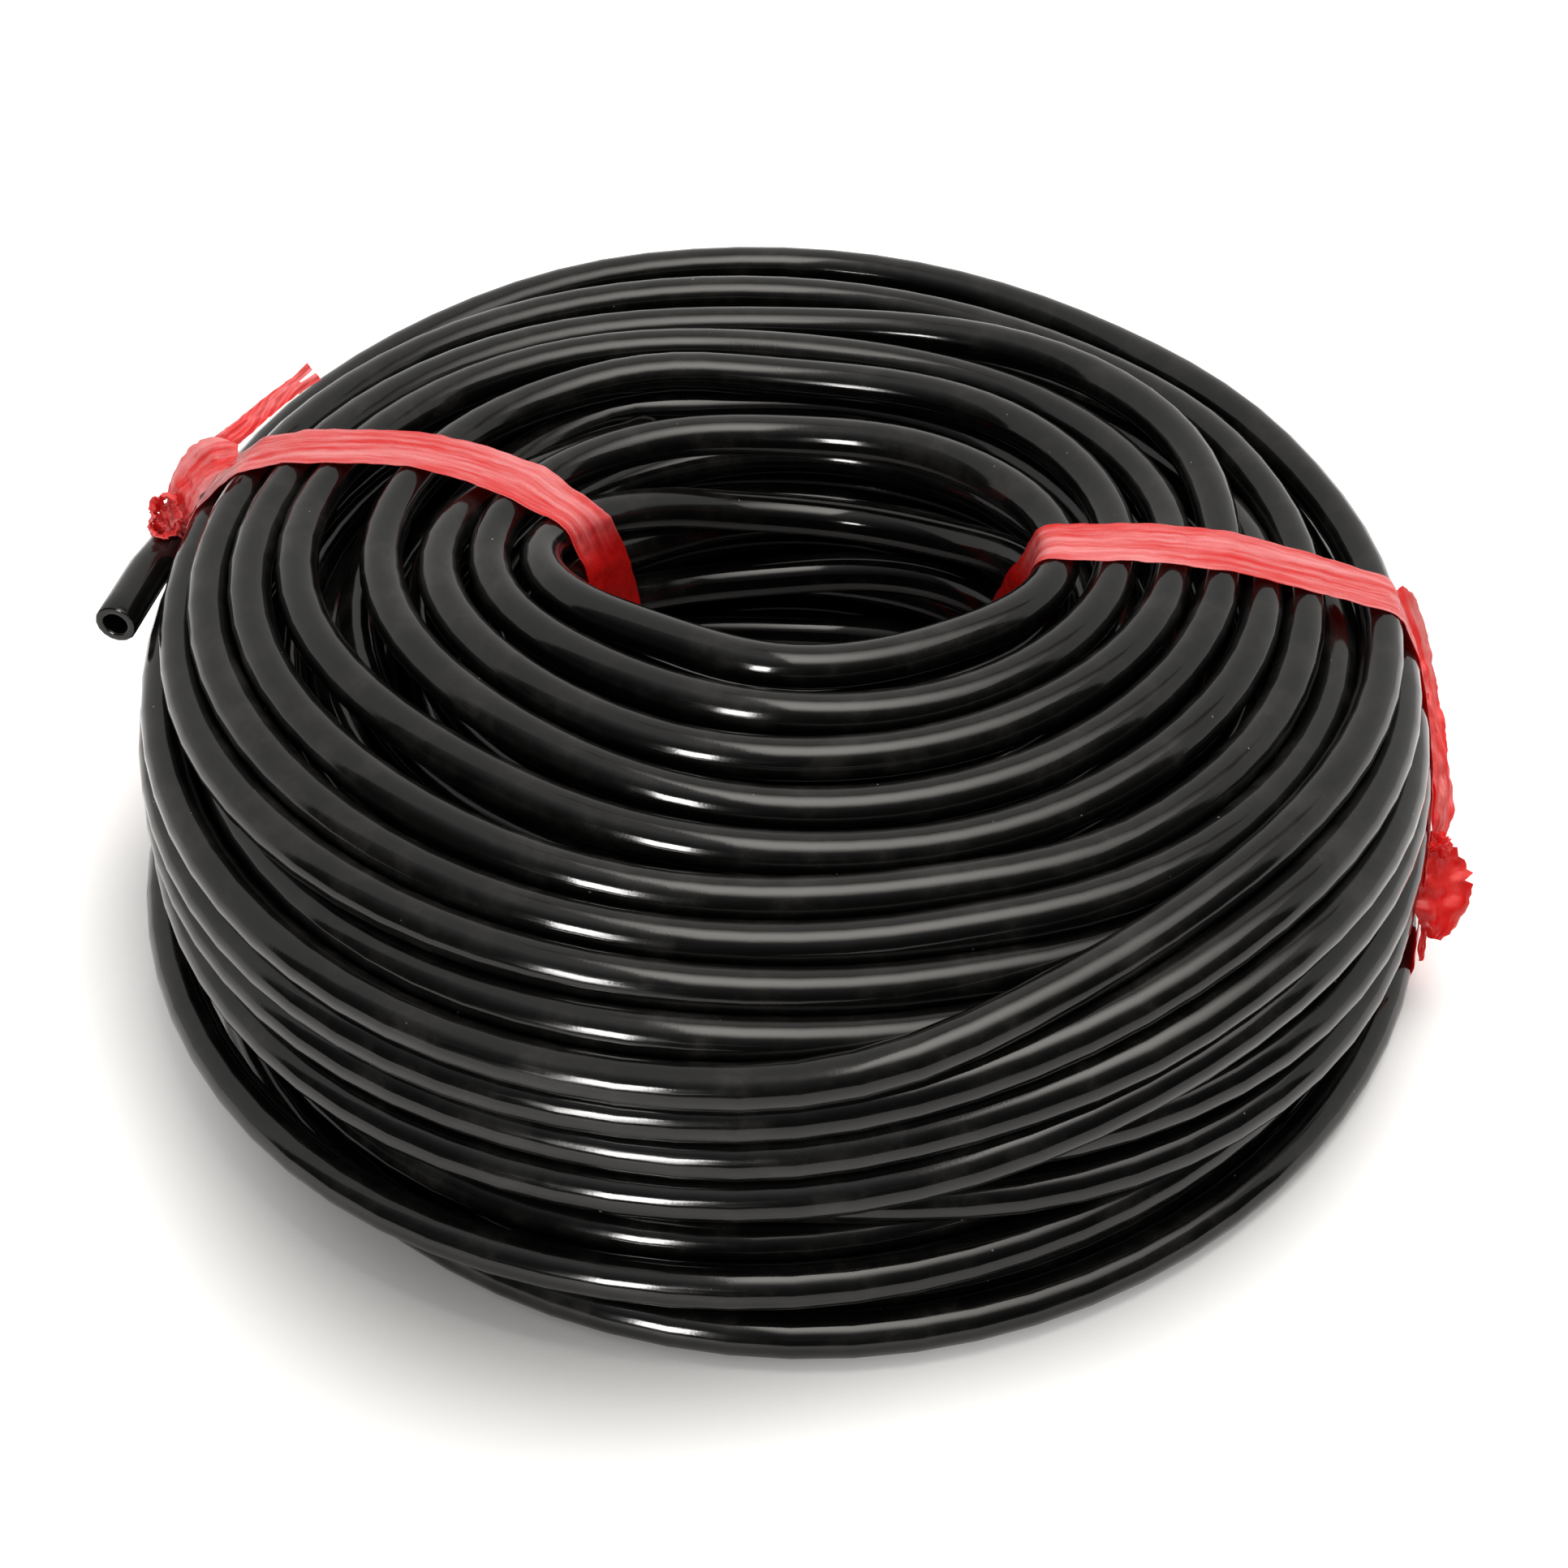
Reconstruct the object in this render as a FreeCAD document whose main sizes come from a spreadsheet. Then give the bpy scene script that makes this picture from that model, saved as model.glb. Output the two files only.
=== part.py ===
import FreeCAD, Part
import math
import os

import Sketcher
from FreeCAD import Placement, Rotation, Vector

# A coil of flexible drip tubing, as it is sold: one length of tube wound into a
# ring that lies on the floor and is tied at its left and right with thin film.
# Millimetres, +Z up, z = 0 on the floor, X to the right of the coil and -Y to
# its front. The origin is the middle of the whole footprint.

# Driving dimensions, in millimetres and degrees
hose_diameter = 7.0  # outside diameter of the tube
hose_bore = 4.0  # bore of the tube
turn_gap = 1.5  # gap left between neighbouring turns
wall_radius = 102.0  # centre line radius of the turns on the outside wall
hole_radius = 38.0  # centre line radius of the turns that line the hole
crown_height = 71.0  # height that the turns' centres reach at the rim of the hole
crown_slope = 8.0  # fall of the top towards the outside, degrees
shoulder_bend = 24.0  # radius of the outer shoulder through the turns' centres
rim_bend = 10.0  # radius of the rim of the hole through the turns' centres
core_clearance = 0.3  # room between the outer turns and the turns inside them
end_angle = 169.0  # where the loose end leaves the coil, degrees from +X
end_height = 55.0  # height of the loose end's centre line
end_length = 14.0  # length of the loose end that stands free
tail_clearance = 0.4  # extra room between the loose end's half turn and the wall
tie_width = 10.0  # width of the film
tie_film = 0.3  # thickness of the gathered film
tie_clearance = 0.3  # room between the film and what it holds
left_tie_angle = 165.0  # place of the left tie, degrees from +X
right_tie_angle = -7.0  # place of the right tie, degrees from +X
left_knot_turn = 28.0  # where the left knot sits on the film, degrees up from the side
right_knot_turn = -21.0  # where the right knot sits on the film, degrees up from the side
knot_width = 11.0  # width of a knot across the film
knot_depth = 8.0  # how far a knot stands off the film
strand_film = 0.8  # thickness of the film's crumpled loose strands
left_loop = 13.0  # length of the loop left in the left knot
left_tail = 34.0  # length of the left tie's loose tail
right_flap = 15.0  # length of the right tie's flared flap
right_tail = 12.0  # length of the right tie's loose tail

doc = FreeCAD.newDocument("TubingCoil")
sheet = doc.addObject("Spreadsheet::Sheet", "Sizes")
driving_sizes = {
    "hose_diameter": hose_diameter,
    "hose_bore": hose_bore,
    "turn_gap": turn_gap,
    "wall_radius": wall_radius,
    "hole_radius": hole_radius,
    "crown_height": crown_height,
    "crown_slope": crown_slope,
    "shoulder_bend": shoulder_bend,
    "rim_bend": rim_bend,
    "core_clearance": core_clearance,
    "end_angle": end_angle,
    "end_height": end_height,
    "end_length": end_length,
    "tail_clearance": tail_clearance,
    "tie_width": tie_width,
    "tie_film": tie_film,
    "tie_clearance": tie_clearance,
    "left_tie_angle": left_tie_angle,
    "right_tie_angle": right_tie_angle,
    "left_knot_turn": left_knot_turn,
    "right_knot_turn": right_knot_turn,
    "knot_width": knot_width,
    "knot_depth": knot_depth,
    "strand_film": strand_film,
    "left_loop": left_loop,
    "left_tail": left_tail,
    "right_flap": right_flap,
    "right_tail": right_tail,
}
for row, (alias, value) in enumerate(driving_sizes.items(), 1):
    sheet.set("A%d" % row, alias.replace("_", " "))
    sheet.set("B%d" % row, str(value))
    sheet.setAlias("B%d" % row, alias)
doc.recompute()


def mm(alias):
    """The value of one driving dimension."""
    return float(getattr(sheet, alias))


hose_reach = mm("hose_diameter") / 2
turn_pitch = mm("hose_diameter") + mm("turn_gap")
floor_turn = hose_reach + mm("tie_film") + mm("tie_clearance")
slope = math.radians(mm("crown_slope"))

# Section of the coil through the turns' centres, as (radius, height): straight
# up the wall, round the shoulder, up the sloping top to the rim of the hole,
# round the rim and straight down.
crown_normal = math.pi / 2 - slope
rim_centre = (mm("hole_radius") + mm("rim_bend"), mm("crown_height") - mm("rim_bend"))
shoulder_span = mm("wall_radius") - mm("shoulder_bend") - rim_centre[0]
bend_difference = mm("shoulder_bend") - mm("rim_bend")
shoulder_centre = (
    mm("wall_radius") - mm("shoulder_bend"),
    rim_centre[1] - (bend_difference + shoulder_span * math.sin(slope)) / math.cos(slope),
)


def on_bend(centre, radius, normal):
    """The point of a bend whose outward normal leans by that angle from level."""
    return (centre[0] + radius * math.cos(normal), centre[1] + radius * math.sin(normal))


crown_start = on_bend(shoulder_centre, mm("shoulder_bend"), crown_normal)
crown_end = on_bend(rim_centre, mm("rim_bend"), crown_normal)
wall_length = shoulder_centre[1] - floor_turn
shoulder_length = mm("shoulder_bend") * crown_normal
crown_length = math.dist(crown_start, crown_end)
rim_length = mm("rim_bend") * (math.pi - crown_normal)
section_length = wall_length + shoulder_length + crown_length + rim_length


def section_at(run):
    """The section's (radius, height) after that length from the foot of the wall."""
    if run <= wall_length:
        return (mm("wall_radius"), floor_turn + run)
    run -= wall_length
    if run <= shoulder_length:
        return on_bend(shoulder_centre, mm("shoulder_bend"), run / mm("shoulder_bend"))
    run -= shoulder_length
    if run <= crown_length:
        part = run / crown_length
        return tuple(a + (b - a) * part for a, b in zip(crown_start, crown_end))
    run -= crown_length
    if run <= rim_length:
        return on_bend(rim_centre, mm("rim_bend"), crown_normal + run / mm("rim_bend"))
    run -= rim_length
    return (mm("hole_radius"), rim_centre[1] - run)


# Route of the outer turns. The loose end comes down behind the coil in
# tail_fall turns, joins the wall at tail_turns and winds up the section.
tail_fall = 0.375
tail_turns = 0.5
half_turns = math.floor(2 * section_length / turn_pitch)
turns = tail_turns + half_turns / 2
tail_gap = turn_pitch + mm("tail_clearance")


def eased(part):
    """A share from 0 to 1 that starts and stops gently."""
    return part * part * (3 - 2 * part)


def beside_coil(height):
    """Radius at which a tube of that height lies against the coil's outside."""
    rise = max(0.0, height - shoulder_centre[1])
    reach = mm("shoulder_bend") + tail_gap
    return shoulder_centre[0] + math.sqrt(reach * reach - rise * rise)


def route_section(turn):
    """(radius, height) of the centre line after that many turns."""
    if turn > tail_turns:
        return section_at(turn_pitch * (turn - tail_turns))
    fall = eased(min(1.0, max(0.0, turn) / tail_fall))
    height = mm("end_height") + (floor_turn - mm("end_height")) * fall
    closing = eased(max(0.0, turn - tail_fall) / (tail_turns - tail_fall))
    radius = beside_coil(height)
    return (radius + (mm("wall_radius") - radius) * closing, height)


def route_point(turn):
    """Centre of the tube after that many turns, going clockwise from above."""
    angle = math.radians(mm("end_angle")) - 2 * math.pi * turn
    radius, height = route_section(turn)
    return Vector(radius * math.cos(angle), radius * math.sin(angle), height)


def route_heading(turn):
    """Direction of travel after that many turns, level at the loose end."""
    step = 0.001
    if turn <= 0:
        angle = math.radians(mm("end_angle"))
        return Vector(math.sin(angle), -math.cos(angle), 0)
    return (route_point(turn + step) - route_point(turn - step)).normalize()


def arc_from(start, heading, finish):
    """The arc that leaves start along heading and ends at finish."""
    chord = finish - start
    side = chord - heading * chord.dot(heading)
    side.normalize()
    radius = chord.dot(chord) / (2 * chord.dot(side))
    centre = start + side * radius
    middle = (start + finish) * 0.5 - centre
    middle.normalize()
    arc_radii.append(radius)
    return Part.Arc(start, centre + middle * radius, finish).toShape()


def biarc(start, heading, finish, final):
    """Two arcs that run from start to finish along both directions."""
    gap = finish - start
    both = heading + final
    spread = 2 * (1 - heading.dot(final))
    lean = gap.dot(both)
    arm = (math.sqrt(lean * lean + spread * gap.dot(gap)) - lean) / spread
    near = start + heading * arm
    far = finish - final * arm
    joint = (near + far) * 0.5
    return [
        arc_from(start, heading, joint),
        arc_from(joint, (far - near).normalize(), finish),
    ]


arc_radii = []
tail_stations = [tail_turns * step / 4 for step in range(4)]
stations = tail_stations + [tail_turns + step / 2 for step in range(half_turns + 1)]
tube_start = route_point(0) - route_heading(0) * mm("hose_diameter")
tube_finish = route_point(turns) + route_heading(turns) * mm("hose_diameter")
edges = [Part.makeLine(tube_start, route_point(0))]
for before, after in zip(stations, stations[1:]):
    edges += biarc(
        route_point(before), route_heading(before), route_point(after), route_heading(after)
    )
edges.append(Part.makeLine(route_point(turns), tube_finish))
centre_line = Part.Wire(edges)

# Outer turns: one unbroken tube with a five-sided section, its corners on the
# tube's real outside diameter.
facets = 5
outward = Vector(route_point(0).x, route_point(0).y, 0).normalize()
corners = []
for corner in range(facets + 1):
    lean = 2 * math.pi * corner / facets
    reach = outward * math.cos(lean) + Vector(0, 0, 1) * math.sin(lean)
    corners.append(tube_start + reach * hose_reach)
outer_turns = doc.addObject("Part::Feature", "OuterTurns")
outer_turns.Label = "hose_outer_turns"
outer_turns.Shape = centre_line.makePipeShell([Part.makePolygon(corners)], True, False)
facet_area = facets / 2 * hose_reach ** 2 * math.sin(2 * math.pi / facets)
tube_share = outer_turns.Shape.Volume / (facet_area * centre_line.Length)

# Points along the centre line, for the film's path and the least gap
sample_step = 1.5
samples = []
for edge in centre_line.OrderedEdges:
    samples += edge.discretize(max(2, round(edge.Length / sample_step)))[:-1]
samples.append(tube_finish)


def least_gap(points, near_run):
    """Least gap of the tube to itself, between points over near_run apart."""
    places = {}
    for place, point in enumerate(points):
        cell = tuple(math.floor(value / near_run) for value in point)
        places.setdefault(cell, []).append(place)
    skipped = near_run / sample_step * 1.5
    least = math.inf
    for cell, members in places.items():
        around = []
        for dx in (-1, 0, 1):
            for dy in (-1, 0, 1):
                for dz in (-1, 0, 1):
                    around += places.get((cell[0] + dx, cell[1] + dy, cell[2] + dz), [])
        for place in members:
            for other in around:
                if other - place > skipped:
                    least = min(least, points[place].distanceToPoint(points[other]))
    return least - mm("hose_diameter")


self_gap = least_gap(samples, 2 * mm("hose_diameter"))


# Turns inside: the wound mass that the outer turns lie on, as one plain ring
# with a channel under it for each film. Each corner has its radius and height
# as expressions on the sheet; neck_foot alone follows from the last turn.
inset = "(Sizes.hose_diameter / 2 + Sizes.core_clearance)"
rim_radius = "(Sizes.hole_radius + Sizes.rim_bend)"
rim_height = "(Sizes.crown_height - Sizes.rim_bend)"
shoulder_radius = "(Sizes.wall_radius - Sizes.shoulder_bend)"
lean_sine = "sin(Sizes.crown_slope * 1 deg)"
lean_cosine = "cos(Sizes.crown_slope * 1 deg)"
bend_step = "(Sizes.shoulder_bend - Sizes.rim_bend)"
top_fall = "(%s + (%s - %s) * %s)" % (bend_step, shoulder_radius, rim_radius, lean_sine)
shoulder_height = "(%s - %s / %s)" % (rim_height, top_fall, lean_cosine)
shoulder_inside = "(Sizes.shoulder_bend - %s)" % inset
lip = "Sizes.hole_radius - Sizes.hose_diameter / 2"
neck = "sqrt(Sizes.hole_radius ^ 2 + Sizes.hose_diameter ^ 2) + %s" % inset
neck_foot = str(route_section(turns)[1] - hose_reach - mm("core_clearance"))
core_top = "%s + %s * %s" % (shoulder_height, shoulder_inside, lean_cosine)
core_wall = "%s + %s" % (shoulder_radius, shoulder_inside)
core_corners = [
    (lip, "0"),
    (lip, neck_foot),
    (neck, neck_foot),
    (neck, core_top),
    ("%s + %s * %s" % (shoulder_radius, shoulder_inside, lean_sine), core_top),
    (core_wall, shoulder_height),
    (core_wall, "0"),
]


def sketch_on(body, role, name):
    """A new sketch on one of a body's own origin planes."""
    sketch = body.newObject("Sketcher::SketchObject", name)
    plane = next(item for item in body.Origin.OriginFeatures if item.Role == role)
    sketch.AttachmentSupport = [(plane, "")]
    sketch.MapMode = "FlatFace"
    return sketch


def bind(sketch, kind, ends, expression):
    """Add a constraint and tie its value to the sheet."""
    value = sketch.evalExpression(expression)
    place = sketch.addConstraint(Sketcher.Constraint(kind, *ends, float(value)))
    name = "size%d" % place
    sketch.renameConstraint(place, name)
    sketch.setExpression("Constraints." + name, expression)


sketch_origin = (-1, 1)
sketch_level = -1
core_body = doc.addObject("PartDesign::Body", "CoreRing")
core_sketch = sketch_on(core_body, "XZ_Plane", "CoreSection")
spots = []
for radius_text, height_text in core_corners:
    radius = float(core_sketch.evalExpression(radius_text))
    height = float(core_sketch.evalExpression(height_text))
    spots.append(Vector(radius, height, 0))
for here, there in zip(spots, spots[1:] + spots[:1]):
    core_sketch.addGeometry(Part.LineSegment(here, there), False)
for line, (radius_text, height_text) in enumerate(core_corners):
    following = (line + 1) % len(core_corners)
    core_sketch.addConstraint(Sketcher.Constraint("Coincident", line, 2, following, 1))
    bind(core_sketch, "DistanceX", (*sketch_origin, line, 1), radius_text)
    if height_text == "0":
        core_sketch.addConstraint(Sketcher.Constraint("PointOnObject", line, 1, sketch_level))
    else:
        bind(core_sketch, "DistanceY", (*sketch_origin, line, 1), height_text)
doc.recompute()
core_turned = core_body.newObject("PartDesign::Revolution", "CoreTurned")
core_turned.Profile = core_sketch
core_turned.ReferenceAxis = (core_sketch, ["V_Axis"])
core_turned.Angle = 360

inner_turns = core_body
channels = []
for side in ("left", "right"):
    channel = doc.addObject("Part::Box", side.title() + "Channel")
    channel.setExpression("Length", "Sizes.wall_radius")
    channel.setExpression("Width", "Sizes.tie_width + 2 * Sizes.tie_clearance")
    channel.setExpression("Height", "Sizes.tie_film + Sizes.tie_clearance")
    turn = Rotation(Vector(0, 0, 1), mm(side + "_tie_angle"))
    corner = Vector(mm("hole_radius") / 2, -mm("tie_width") / 2 - mm("tie_clearance"), 0)
    channel.Placement = Placement(turn.multVec(corner), turn)
    channels.append(channel)
    grooved = doc.addObject("Part::Cut", side.title() + "Grooved")
    grooved.Base = inner_turns
    grooved.Tool = channel
    inner_turns = grooved
inner_turns.Label = "hose_inner_turns"

# Loose end: round tube with its bore, cut square, standing on from the turns.
free_end = doc.addObject("PartDesign::Body", "FreeEnd")
free_end.Label = "hose_free_end"
ring_sketch = sketch_on(free_end, "XY_Plane", "EndSection")
for circle, alias in enumerate(("hose_diameter", "hose_bore")):
    outline = Part.Circle(Vector(0, 0, 0), Vector(0, 0, 1), mm(alias) / 2)
    ring_sketch.addGeometry(outline, False)
    ring_sketch.addConstraint(Sketcher.Constraint("Coincident", circle, 3, *sketch_origin))
    bind(ring_sketch, "Radius", (circle,), "Sizes.%s / 2" % alias)
doc.recompute()
end_pad = free_end.newObject("PartDesign::Pad", "EndLength")
end_pad.Profile = ring_sketch
end_pad.setExpression("Length", "Sizes.end_length")
end_heading = route_heading(0) * -1
free_end.Placement = Placement(tube_start, Rotation(Vector(0, 0, 1), end_heading))


# Ties: each film runs taut round everything at its place, so its inside is the
# hull of the tubes and ring corners there, each with its room.
def hull(points):
    """Corners of the convex outline round points, counter-clockwise."""
    ordered = sorted(set(points))
    outline = []
    for run in (ordered, ordered[::-1]):
        chain = []
        for x, z in run:
            while len(chain) > 1:
                (ax, az), (bx, bz) = chain[-2:]
                if (bx - ax) * (z - az) - (bz - az) * (x - ax) > 1e-6:
                    break
                chain.pop()
            chain.append((x, z))
        outline += chain[:-1]
    return outline


def taut_outline(discs, grow):
    """Outline of a film round discs (radius, height, reach), grown outwards."""
    sides = 12
    points = []
    for x, z, reach in discs:
        corner = (reach + grow) / math.cos(math.pi / sides)
        for side in range(sides):
            lean = 2 * math.pi * (side + 0.5) / sides
            points.append((x + corner * math.cos(lean), z + corner * math.sin(lean)))
    return hull(points)


def film_discs(angle):
    """Everything that the film at this angle is wrapped round."""
    along = Vector(math.cos(angle), math.sin(angle), 0)
    across = Vector(-math.sin(angle), math.cos(angle), 0)
    room = mm("tie_clearance")
    half = mm("tie_width") / 2 + sample_step
    discs = []
    for point in samples:
        if abs(point.dot(across)) < half and point.dot(along) > 0:
            discs.append((point.dot(along), max(point.z, floor_turn), hose_reach + room))
    channel_roof = mm("tie_film") + room
    for corner in spots:
        discs.append((corner.x, max(corner.y, channel_roof), room))
    return discs


def upright(corners, place):
    """A closed wire through (along, up) corners in a tie's plane."""
    points = [place.multVec(Vector(x, 0, z)) for x, z in corners]
    return Part.makePolygon(points + points[:1])


def sheet_solid(outer, holes, place, width):
    """Solid of that width across the tie's plane, from outlines in the plane."""
    across = place.Rotation.multVec(Vector(0, width, 0))
    shift = across * -0.5
    face = Part.Face(upright(outer, place))
    for hole in holes:
        face = face.cut(Part.Face(upright(hole, place)))
    face.translate(shift)
    return face.Faces[0].extrude(across)


def film_band(discs, place):
    """The closed band of film round the coil."""
    inside = taut_outline(discs, 0)
    outside = taut_outline(discs, mm("tie_film"))
    return sheet_solid(outside, [inside], place, mm("tie_width"))


def film_seat(corners, degrees):
    """Where a ray leaning up from level leaves an outline's middle and meets it."""
    lean = math.radians(degrees)
    middle_x = (min(x for x, _ in corners) + max(x for x, _ in corners)) / 2
    middle_z = (min(z for _, z in corners) + max(z for _, z in corners)) / 2
    for (ax, az), (bx, bz) in zip(corners, corners[1:] + corners[:1]):
        near = (ax - middle_x) * math.sin(lean) - (az - middle_z) * math.cos(lean)
        far = (bx - middle_x) * math.sin(lean) - (bz - middle_z) * math.cos(lean)
        if near * far <= 0 and near != far:
            share = near / (near - far)
            x = ax + (bx - ax) * share
            z = az + (bz - az) * share
            if (x - middle_x) * math.cos(lean) + (z - middle_z) * math.sin(lean) > 0:
                return (x, z)
    raise ValueError("the film has no place for its knot")


def faceted(rings):
    """The closed solid of flat facets whose sections are these equal rings."""
    faces = []
    for near, far in zip(rings, rings[1:]):
        for corner, point in enumerate(near):
            after = (corner + 1) % len(near)
            faces.append((point, near[after], far[after]))
            faces.append((point, far[after], far[corner]))
    for ring in (rings[0], rings[-1]):
        for corner in range(1, len(ring) - 1):
            faces.append((ring[0], ring[corner], ring[corner + 1]))
    faces = [Part.Face(Part.makePolygon([a, b, c, a])) for a, b, c in faces]
    return Part.makeSolid(Part.makeShell(faces))


def knot(at, place):
    """A puckered knot of seven folds round at, across the film."""
    folds = 7
    rings = []
    for across, share in ((-0.5, 0.45), (-0.2, 1.0), (0.22, 0.9), (0.5, 0.4)):
        reach = mm("knot_depth") / 2 * share
        corners = []
        for fold in range(folds):
            lean = 2 * math.pi * fold / folds
            x = at[0] + reach * math.cos(lean)
            z = at[1] + reach * math.sin(lean)
            corners.append(place.multVec(Vector(x, mm("knot_width") * across, z)))
        rings.append(corners)
    return faceted(rings)


def strand(start, headings, length, widths, place):
    """A loose strip of crumpled film from start, each run along its own heading."""
    points = [Vector(start[0], 0, start[1])]
    for heading in headings:
        step = Vector(*heading).normalize() * (length / len(headings))
        points.append(points[-1] + step)
    rings = []
    for spot, (point, width) in enumerate(zip(points, widths)):
        run = points[min(spot + 1, len(points) - 1)] - points[max(spot - 1, 0)]
        run.normalize()
        thick = run.cross(Vector(0, 1, 0)).normalize() * (mm("strand_film") / 2)
        wide = thick.cross(run).normalize() * (width / 2)
        corners = [point + thick + wide, point - thick + wide]
        corners += [point - thick - wide, point + thick - wide]
        rings.append([place.multVec(corner) for corner in corners])
    return faceted(rings)


def tie_shape(side, knot_turn):
    """The band of one tie with its knot, and where that knot's middle is."""
    place = Placement(Vector(0, 0, 0), Rotation(Vector(0, 0, 1), mm(side + "_tie_angle")))
    discs = film_discs(math.radians(mm(side + "_tie_angle")))
    seat = film_seat(taut_outline(discs, mm("tie_film")), knot_turn)
    lean = math.radians(knot_turn)
    stand = mm("knot_depth") / 4
    middle = (seat[0] + stand * math.cos(lean), seat[1] + stand * math.sin(lean))
    lump = knot(middle, place).cut(sheet_solid(taut_outline(discs, 0), [], place, 2 * mm("knot_width")))
    return film_band(discs, place).fuse(lump), middle, place


def loop_of_film(at, lean, length, place):
    """A loop of film, narrow where it leaves the knot and round at its far end."""
    outlines = []
    for film in (0, mm("strand_film")):
        corners = []
        for step in range(10):
            turn = 2 * math.pi * step / 10
            along = length * (1 - math.cos(turn)) / 2 - (film if step else -film * 2)
            aside = length * 0.42 * math.sin(turn) * (1 - 0.35 * math.cos(turn))
            aside -= math.copysign(film, aside) if abs(aside) > film else 0
            corners.append(
                (
                    at[0] + along * math.cos(lean) - aside * math.sin(lean),
                    at[1] + along * math.sin(lean) + aside * math.cos(lean),
                )
            )
        outlines.append(corners)
    return sheet_solid(outlines[0], [outlines[1]], place, mm("tie_width") * 0.6)


def only_solid(shape):
    """The one solid that the joined pieces of a tie make."""
    joined = shape.removeSplitter()
    if len(joined.Solids) != 1:
        raise ValueError("a tie is not one piece")
    return joined.Solids[0]


# Left tie: knot over the loose end, a loop standing on it, and a long tail that
# lies back over the shoulder.
band, middle, place = tie_shape("left", mm("left_knot_turn"))
band = band.fuse(loop_of_film(middle, math.radians(100), mm("left_loop"), place))
tail_headings = ((0.2, -1.0, 0.75), (-0.3, -1.0, 0.5), (-0.6, -1.0, 0.15), (-0.6, -1.0, 0.0))
tail_widths = (2.0, 2.6, 3.0, 3.4, 4.2)
band = band.fuse(strand(middle, tail_headings, mm("left_tail"), tail_widths, place))
left_tie = doc.addObject("Part::Feature", "LeftTie")
left_tie.Label = "left_tie"
left_tie.Shape = only_solid(band)

# Right tie: knot low on the wall, a flared flap hanging forward and a thin end.
band, middle, place = tie_shape("right", mm("right_knot_turn"))
flap_headings = ((0.55, -1.0, -0.15), (0.25, -1.0, -0.5))
band = band.fuse(strand(middle, flap_headings, mm("right_flap"), (3.0, 6.5, 9.5), place))
tail_headings = ((0.6, -0.4, -0.7), (0.1, -0.5, -1.0))
band = band.fuse(strand(middle, tail_headings, mm("right_tail"), (2.4, 2.0, 1.4), place))
right_tie = doc.addObject("Part::Feature", "RightTie")
right_tie.Label = "right_tie"
right_tie.Shape = only_solid(band)

# The origin is the middle of the whole footprint
pieces = [outer_turns, inner_turns, free_end, left_tie, right_tie]
doc.recompute()
footprint = FreeCAD.BoundBox()
for piece in pieces:
    footprint.add(piece.Shape.optimalBoundingBox(False))
middle = Vector(footprint.Center.x, footprint.Center.y, footprint.ZMin)
for piece in (outer_turns, left_tie, right_tie, free_end, core_body, *channels):
    piece.Placement = Placement(middle * -1, Rotation()).multiply(piece.Placement)
doc.recompute()

for item in doc.Objects:
    if "Invalid" in item.State or "Error" in item.State:
        raise RuntimeError("%s did not build: %s" % (item.Name, item.State))
for piece in pieces:
    if piece.Shape.isNull() or not piece.Shape.isValid():
        raise RuntimeError("%s is not a valid solid" % piece.Label)
    if len(piece.Shape.Solids) != 1:
        raise RuntimeError("%s is not one solid" % piece.Label)
if abs(tube_share - 1) > 0.001:
    raise RuntimeError("the tube's volume is not its section times its length")

os.makedirs("parts", exist_ok=True)
for piece in pieces:
    piece.Shape.exportStep("parts/%s.step" % piece.Label)

print("coil axis at x %.3f y %.3f" % (-middle.x, -middle.y))
print("outer turns %.1f, tube %.0f mm long" % (turns, centre_line.Length))
print("volume over section times length %.5f" % tube_share)
print("least gap of the tube to itself %.2f mm" % self_gap)
print("bend radii %.1f to %.1f mm" % (min(arc_radii), max(arc_radii)))
mouth = free_end.Placement.multVec(Vector(0, 0, mm("end_length")))
print("mouth at %.3f %.3f %.3f" % tuple(mouth))
print("mouth faces %.5f %.5f %.5f" % tuple(end_heading))
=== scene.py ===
"""A coil of black drip tube held by two ties of red film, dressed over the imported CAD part."""

import logging
import math
from dataclasses import dataclass, field
from enum import Enum
from typing import Callable, Iterator, Optional

import bmesh
import bpy
import numpy as np
from mathutils import Euler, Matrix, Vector, noise


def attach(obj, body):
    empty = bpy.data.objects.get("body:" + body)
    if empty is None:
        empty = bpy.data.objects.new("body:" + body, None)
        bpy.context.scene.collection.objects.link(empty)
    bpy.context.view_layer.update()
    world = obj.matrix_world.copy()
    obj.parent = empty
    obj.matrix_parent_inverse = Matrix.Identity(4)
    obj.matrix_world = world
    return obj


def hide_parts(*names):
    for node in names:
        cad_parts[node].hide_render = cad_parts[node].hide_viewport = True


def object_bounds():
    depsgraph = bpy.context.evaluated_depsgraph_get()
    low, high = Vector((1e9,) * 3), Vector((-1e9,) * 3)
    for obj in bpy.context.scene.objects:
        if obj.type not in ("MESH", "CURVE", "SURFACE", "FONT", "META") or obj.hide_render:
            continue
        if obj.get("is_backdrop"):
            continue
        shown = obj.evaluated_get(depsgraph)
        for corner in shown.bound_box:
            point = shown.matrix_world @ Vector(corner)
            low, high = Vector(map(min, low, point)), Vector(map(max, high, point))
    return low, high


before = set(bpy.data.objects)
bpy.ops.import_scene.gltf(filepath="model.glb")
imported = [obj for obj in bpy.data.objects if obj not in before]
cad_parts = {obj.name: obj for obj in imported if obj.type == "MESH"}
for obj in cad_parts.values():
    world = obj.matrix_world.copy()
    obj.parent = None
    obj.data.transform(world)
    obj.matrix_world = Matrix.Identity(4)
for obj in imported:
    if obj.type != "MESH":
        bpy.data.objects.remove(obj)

log = logging.getLogger("coil")

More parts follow.
